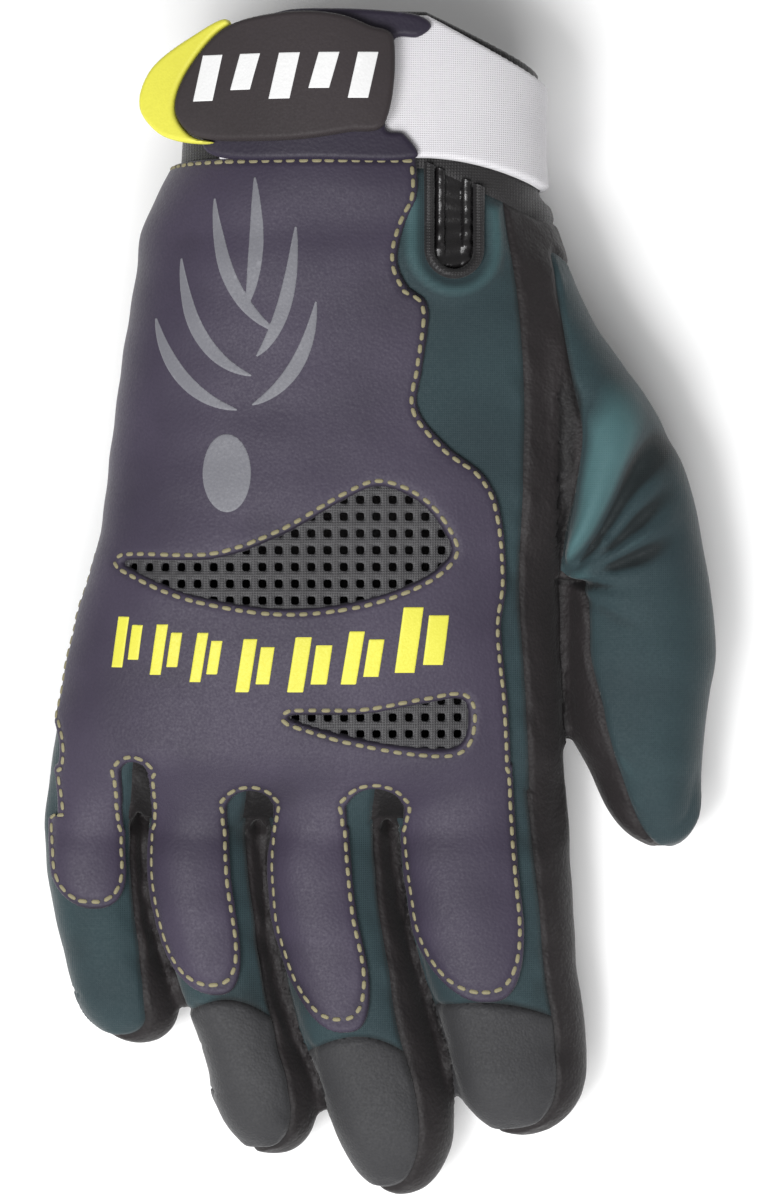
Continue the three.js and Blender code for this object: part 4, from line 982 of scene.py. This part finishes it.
def sew(name, runs, pitch, size, material, seed):
    """One piece of thread stitches along runs of points with normals; size is length, width, height."""
    rng = np.random.default_rng(seed)
    shape, shape_tris = thread_shape()
    verts, tris = [], []
    for points, normals in runs:
        step = np.linalg.norm(np.diff(points, axis=0), axis=1)
        place = np.concatenate([[0], np.cumsum(step)])
        count = int(place[-1] / pitch)
        if count < 2:
            continue
        middles = (np.arange(count) + 0.5) * place[-1] / count
        at = lambda array, s: np.array([np.interp(s, place, array[:, k]) for k in range(3)])
        for s in middles + rng.uniform(-0.12, 0.12, count):
            up = at(normals, s)
            up /= np.linalg.norm(up)
            along = at(points, s + 0.5) - at(points, s - 0.5) + rng.uniform(-0.06, 0.06, 3)
            along -= up * (along @ up)
            along /= np.linalg.norm(along)
            scale = np.array(size) * (rng.uniform(0.9, 1.1), 1, 1)
            tris.append(shape_tris + len(verts) * len(shape))
            verts.append(at(points, s) + (shape * scale) @ np.stack([along, np.cross(up, along), up]))
    return add_piece(name, to_mesh(name, np.concatenate(verts), np.concatenate(tris)), material)


_, (every, segments) = clip(overlay, sewn)
runs = [(run[:, :3] + run[:, 3:6] * (run[:, -1:] + 0.1), run[:, 3:6]) for run in chains(every, segments)]
sew("overlay_stitches", runs, 2.65, (1.8, 0.88, 0.6), THREAD, 21)


# Perforated vents
def surface_points(xy, lift=0.0):
    out = np.zeros((len(xy), 3))
    for k, (x, y) in enumerate(xy):
        hit = tree.ray_cast(Vector((x, y, 90)), Vector((0, 0, -1)))[0]
        out[k] = (x, y, hit[2] + lift) if hit is not None else (x, y, 0)
    return out


# Pitch and one hole's middle across and along the hand; the grid has 8 cells a pitch
VENT_STEP = (3.34, 3.44)
VENT_ORIGIN = (-29.5, 20.53)
CELLS = 8


def grid_tris(kept):
    """Two triangles for each kept cell of a grid of points."""
    rows, cols = kept.shape
    index = np.arange((rows + 1) * (cols + 1)).reshape(rows + 1, -1)
    a, b, c, e = (index[i:rows + i, j:cols + j][kept] for i, j in ((0, 0), (1, 0), (1, 1), (0, 1)))
    return np.concatenate([np.stack([a, b, c], 1), np.stack([a, c, e], 1)])


def vent(name, outline, node):
    """A sheet with square holes whose corners and rims are eased."""
    cells = [np.arange(math.floor((outline[:, k].min() - 3 - VENT_ORIGIN[k]) / VENT_STEP[k] - 0.5) * CELLS,
                       math.ceil((outline[:, k].max() + 3 - VENT_ORIGIN[k]) / VENT_STEP[k] + 0.5) * CELLS + 1)
             for k in (0, 1)]
    grid = np.meshgrid(*cells, indexing="ij")
    phase = [(g + CELLS // 2) % CELLS - CELLS // 2 for g in grid]
    pull = np.where((np.abs(phase[0]) == 2) & (np.abs(phase[1]) == 2), 0.82, 1.0)
    xy = np.stack([VENT_ORIGIN[k] + (g - p + p * pull) * VENT_STEP[k] / CELLS
                   for k, (g, p) in enumerate(zip(grid, phase))], 2)
    points = surface_points(xy.reshape(-1, 2))
    solid = (np.abs(phase[0][:-1, :-1] + 0.5) > 2) | (np.abs(phase[1][:-1, :-1] + 0.5) > 2)
    tris = grid_tris(solid)
    edge = np.maximum(np.abs(phase[0]), np.abs(phase[1])).ravel()
    lift = np.where(edge <= 2, 0.28, np.where(edge == 3, 0.5, 0.56))
    patch = clip((np.hstack([points, vertex_normals(points, tris), lift[:, None]]), tris),
                 inside_outline(points[:, :2], outline) + VENT_LAP)[0]
    shell(name, patch, patch[0][:, 6], -0.5, VENT, [node])


vent("vent_large_mesh", LARGE, "vent_large")
vent("vent_small_mesh", SMALL, "vent_small")

# The strap round the wrist and its stitch line
strap = edged(base_patch, strap_field, 1.6)
d = strap[0][:, -1]
fold = 0.4 * fold_relief(strap[0])
shell("strap_webbing", strap, fold + rounded(d, 0.8, 1.2, STRAP_TOP), fold + STRAP_LOW, STRAP,
      ["wrist_strap"])

# The wrist slit: its binding and ribbed gusset
slit_area = keep(base_patch, lambda d: 12 - np.abs(d[:, 0] - SLIT_X),
                 lambda d: d[:, 1] - 60, lambda d: 100 - d[:, 1], lambda d: d[:, 2] - 20)
cuff_gap = lambda d: cuff_line(d[:, 0]) - d[:, 1] + 1
for _ in range(2):
    slit_area = refine(*slit_area, np.abs(slit_field(slit_area[0], 1)) < 7)
binding = keep(slit_area, lambda d: slit_field(d, -0.1), lambda d: -slit_field(d, BINDING_WIDTH), cuff_gap)
across_it = np.clip((slit_field(binding[0], 0) - 0.9) / 1.02, -1, 1)
shell("slit_piping", binding, 0.15 + 1.35 * np.sqrt(1 - across_it**2), -0.3, NEOPRENE, ["slit_binding"])
gusset = keep(slit_area, lambda d: slit_field(d, 1.1), cuff_gap)
g = gusset[0]
aside = np.abs(g[:, 0] - SLIT_X) - 2.7
rib = np.sqrt(unit(1 - (aside / 1.05) ** 2)) * np.clip((g[:, 1] - 70) / 4, 0.25, 1)
ripple = 0.25 * np.sin(g[:, 1] * 2.2 + waves(g, 7, 12)) * np.clip((80 - g[:, 1]) / 8, 0.2, 1)
shell("gusset_ribbed", gusset, -0.5 + 1.3 * rib + ripple, -1.8, RIB_RUBBER, ["wrist_gusset"])


# The strap end: base, pad and pull on one plane over the wrist
def tab_height(x, offset):
    last = hand_section(HAND_ROWS[-1][0])
    leave = TAB_LEAVE * WRIST_WIDTH

    def height(at):
        share = np.minimum(np.abs(at - last["x"]) / (last["half"] + offset), 0.999)
        rise = (1 - share ** last["power"]) ** (1 / last["power"])
        return last["z"] + (last["up"] + offset) * rise

    slope = (height(leave + 0.5) - height(leave)) / 0.5
    return np.where(x < leave, height(leave) + slope * (x - leave), height(np.maximum(x, leave)))


def tab_patch(outline, low, cut=None, step=0.5):
    """A plate of the strap end at a height over the wrist, with the distance to its edge as a last column."""
    def edge(p):
        value = inside_outline(p[:, :2], outline)
        return value if cut is None else np.minimum(value, -inside_outline(p[:, :2], cut) - 0.3)

    lo, hi = outline.min(0) - 1, outline.max(0) + 1
    x, y = np.meshgrid(np.arange(lo[0], hi[0], step), np.arange(lo[1], hi[1], step), indexing="ij")
    points = np.stack([x.ravel(), y.ravel(), tab_height(x.ravel(), low)], 1)
    tris = grid_tris(np.full(np.subtract(x.shape, 1), True))
    data = np.hstack([points, vertex_normals(points, tris)])
    data, tris = refine(data, tris, np.abs(edge(points) - 0.4) < 1.2)
    value = edge(data)
    return clip((np.hstack([data, value[:, None]]), tris), value)[0]


pad_plan = tab_outline(TAB_PAD)
tab = tab_patch(tab_outline(TAB_BASE), 2.6)
d = tab[0][:, 6]
shell("tab_base_leather", tab, rounded(d, 1.2, 0.5, 1.5), 0, TAB_PURPLE, ["tab_base"])
pull = tab_patch(tab_outline(TAB_PULL), 4.4, pad_plan)
shell("tab_pull_rubber", pull, rounded(pull[0][:, 6], 0.9, 1.3, 2.2), 0, YELLOW_RUBBER, ["tab_pull"])
pad = tab_patch(pad_plan, 4.4)
d = pad[0][:, 6]
pad_top = rounded(d, 1.0, 1.9, 2.9) + 0.3 * (1 - np.exp(-d / 5))
pad = (np.hstack([pad[0], pad_top[:, None]]), pad[1])
shell("tab_pad_rubber", pad, pad_top, 0, BLACK_RUBBER, ["tab_pad"])


# Plain printed shapes: raised patches of the surface below them
def print_on(name, patch, outlines, material, rise=0.1):
    field = lambda d: np.max([inside_outline(d[:, :2], outline, 3.0) for outline in outlines], 0)
    patch = keep(patch, lambda d: field(d) + 2.5)
    for band in (1.4, 0.7):
        patch = refine(*patch, np.abs(field(patch[0])) < band)
    patch = keep(patch, field)
    d = field(patch[0])
    top = patch[0][:, -1]
    shell(name, patch, top + rounded(d, 0.3, 0.03, rise), top - 0.15, material)


def slanted(x0, x1, y0, y1, lean, height):
    """A leaning bar in photograph pixels, taken to the plane at a height."""
    scale = (900 - height) / 4200
    corners = [(x0, y1), (x1 - lean, y1), (x1, y0), (x0 + lean, y0)]
    return np.array([((x - 390) * scale, (600 - y) * scale) for x, y in corners])


def stroke(points, width):
    """Outline of a tapering curved band through three points."""
    p = np.array(points, float)
    t = np.linspace(0, 1, 25)[:, None]
    line = (1 - t) ** 2 * p[0] + 2 * t * (1 - t) * p[1] + t**2 * p[2]
    way = np.gradient(line, axis=0)
    way /= np.linalg.norm(way, axis=1, keepdims=True)
    off = np.stack([-way[:, 1], way[:, 0]], 1) * (width / 2 * np.sin(np.pi * (0.015 + 0.97 * t)) ** 0.7)
    return np.concatenate([line + off, (line - off)[::-1]])


KNUCKLE_BARS = [(110, 141, 617, 668), (148, 180, 624, 675), (188, 220, 632, 682), (234, 272, 638, 692),
                (286, 330, 636, 692), (340, 382, 630, 684), (394, 446, 606, 672)]
bars = []
for x0, x1, y0, y1 in KNUCKLE_BARS:
    wide = 0.44 * (x1 - x0) + 6
    bars.append(slanted(x0, x0 + wide, y0, y1, 9, 46))
    bars.append(slanted(x1 - wide + 5, x1 + 2, y0 + 8, y1 - 8, 6, 46))
print_on("knuckle_bars", overlay, bars, YELLOW_RUBBER, 0.16)

turn = np.linspace(0, 2 * np.pi, 48, endpoint=False)
grey_oval = np.stack([-33.1 + 4.9 * np.cos(turn), 26 + 8 * np.sin(turn)], 1)
LEAVES = [
    [(-47, 58), (-44, 42), (-31, 39)], [(-42, 70), (-41, 50), (-28, 46)], [(-35, 82), (-35, 62), (-23, 55)],
    [(-15, 61), (-17, 45), (-28, 40)], [(-19, 76), (-20, 57), (-27, 50)], [(-27, 86), (-26, 70), (-29, 60)],
]
print_on("grey_motif", overlay, [grey_oval] + [stroke(leaf, 2.9) for leaf in LEAVES], GREY_PRINT, 0.12)
pad_bars = [slanted(x, x + 30, 52, 98 if k % 2 == 0 else 88, 10, 52)
            for k, x in enumerate(range(196, 350, 38))]
print_on("pad_bars", pad, pad_bars, WHITE_PRINT)

# The strap's own faint stitch line
line = np.array([(26.3, y) for y in np.linspace(93, 106, 30)])
points = surface_points(line, 2.35)
sew("strap_stitches", [(points, np.tile([0.35, 0, 0.94], (30, 1)))], 2.2, (1.2, 0.5, 0.35), STRAP, 5)

# Camera straight above, as the photograph
camera = bpy.data.cameras.new("camera")
camera.lens = 126
camera.sensor_width = 36
camera.clip_start = 0.01
camera_object = linked("camera", camera)
camera_object.location = (0, 0, 0.9)
bpy.context.scene.camera = camera_object

floor = bpy.data.meshes.new("floor")
floor.from_pydata([(x, y, -0.0004) for x, y in ((-2, -2), (2, -2), (2, 2), (-2, 2))], [], [(0, 1, 2, 3)])
floor_object = linked("floor", floor)
paper = bpy.data.materials.new("paper")
paper.use_nodes = True
net = paper.node_tree
feed(net, net.nodes["Principled BSDF"], {"Base Color": (1, 1, 1, 1), "Roughness": 0.9})
floor.materials.append(paper)

world = bpy.data.worlds.new("studio")
world.use_nodes = True
net = world.node_tree
feed(net, net.nodes["Background"], {"Color": (1, 1, 1, 1), "Strength": 0.3})
bpy.context.scene.world = world
bpy.context.scene.view_settings.view_transform = "Standard"


def soft_light(name, place, size, watts):
    light = bpy.data.lights.new(name, "AREA")
    light.size = size
    light.energy = watts
    obj = linked(name, light)
    obj.location = place
    obj.rotation_euler = (-Vector(place)).to_track_quat("-Z", "Y").to_euler()


soft_light("key", (-0.45, -0.3, 1.05), 0.4, 9)
soft_light("fill", (0.0, -0.6, 0.9), 0.7, 8)
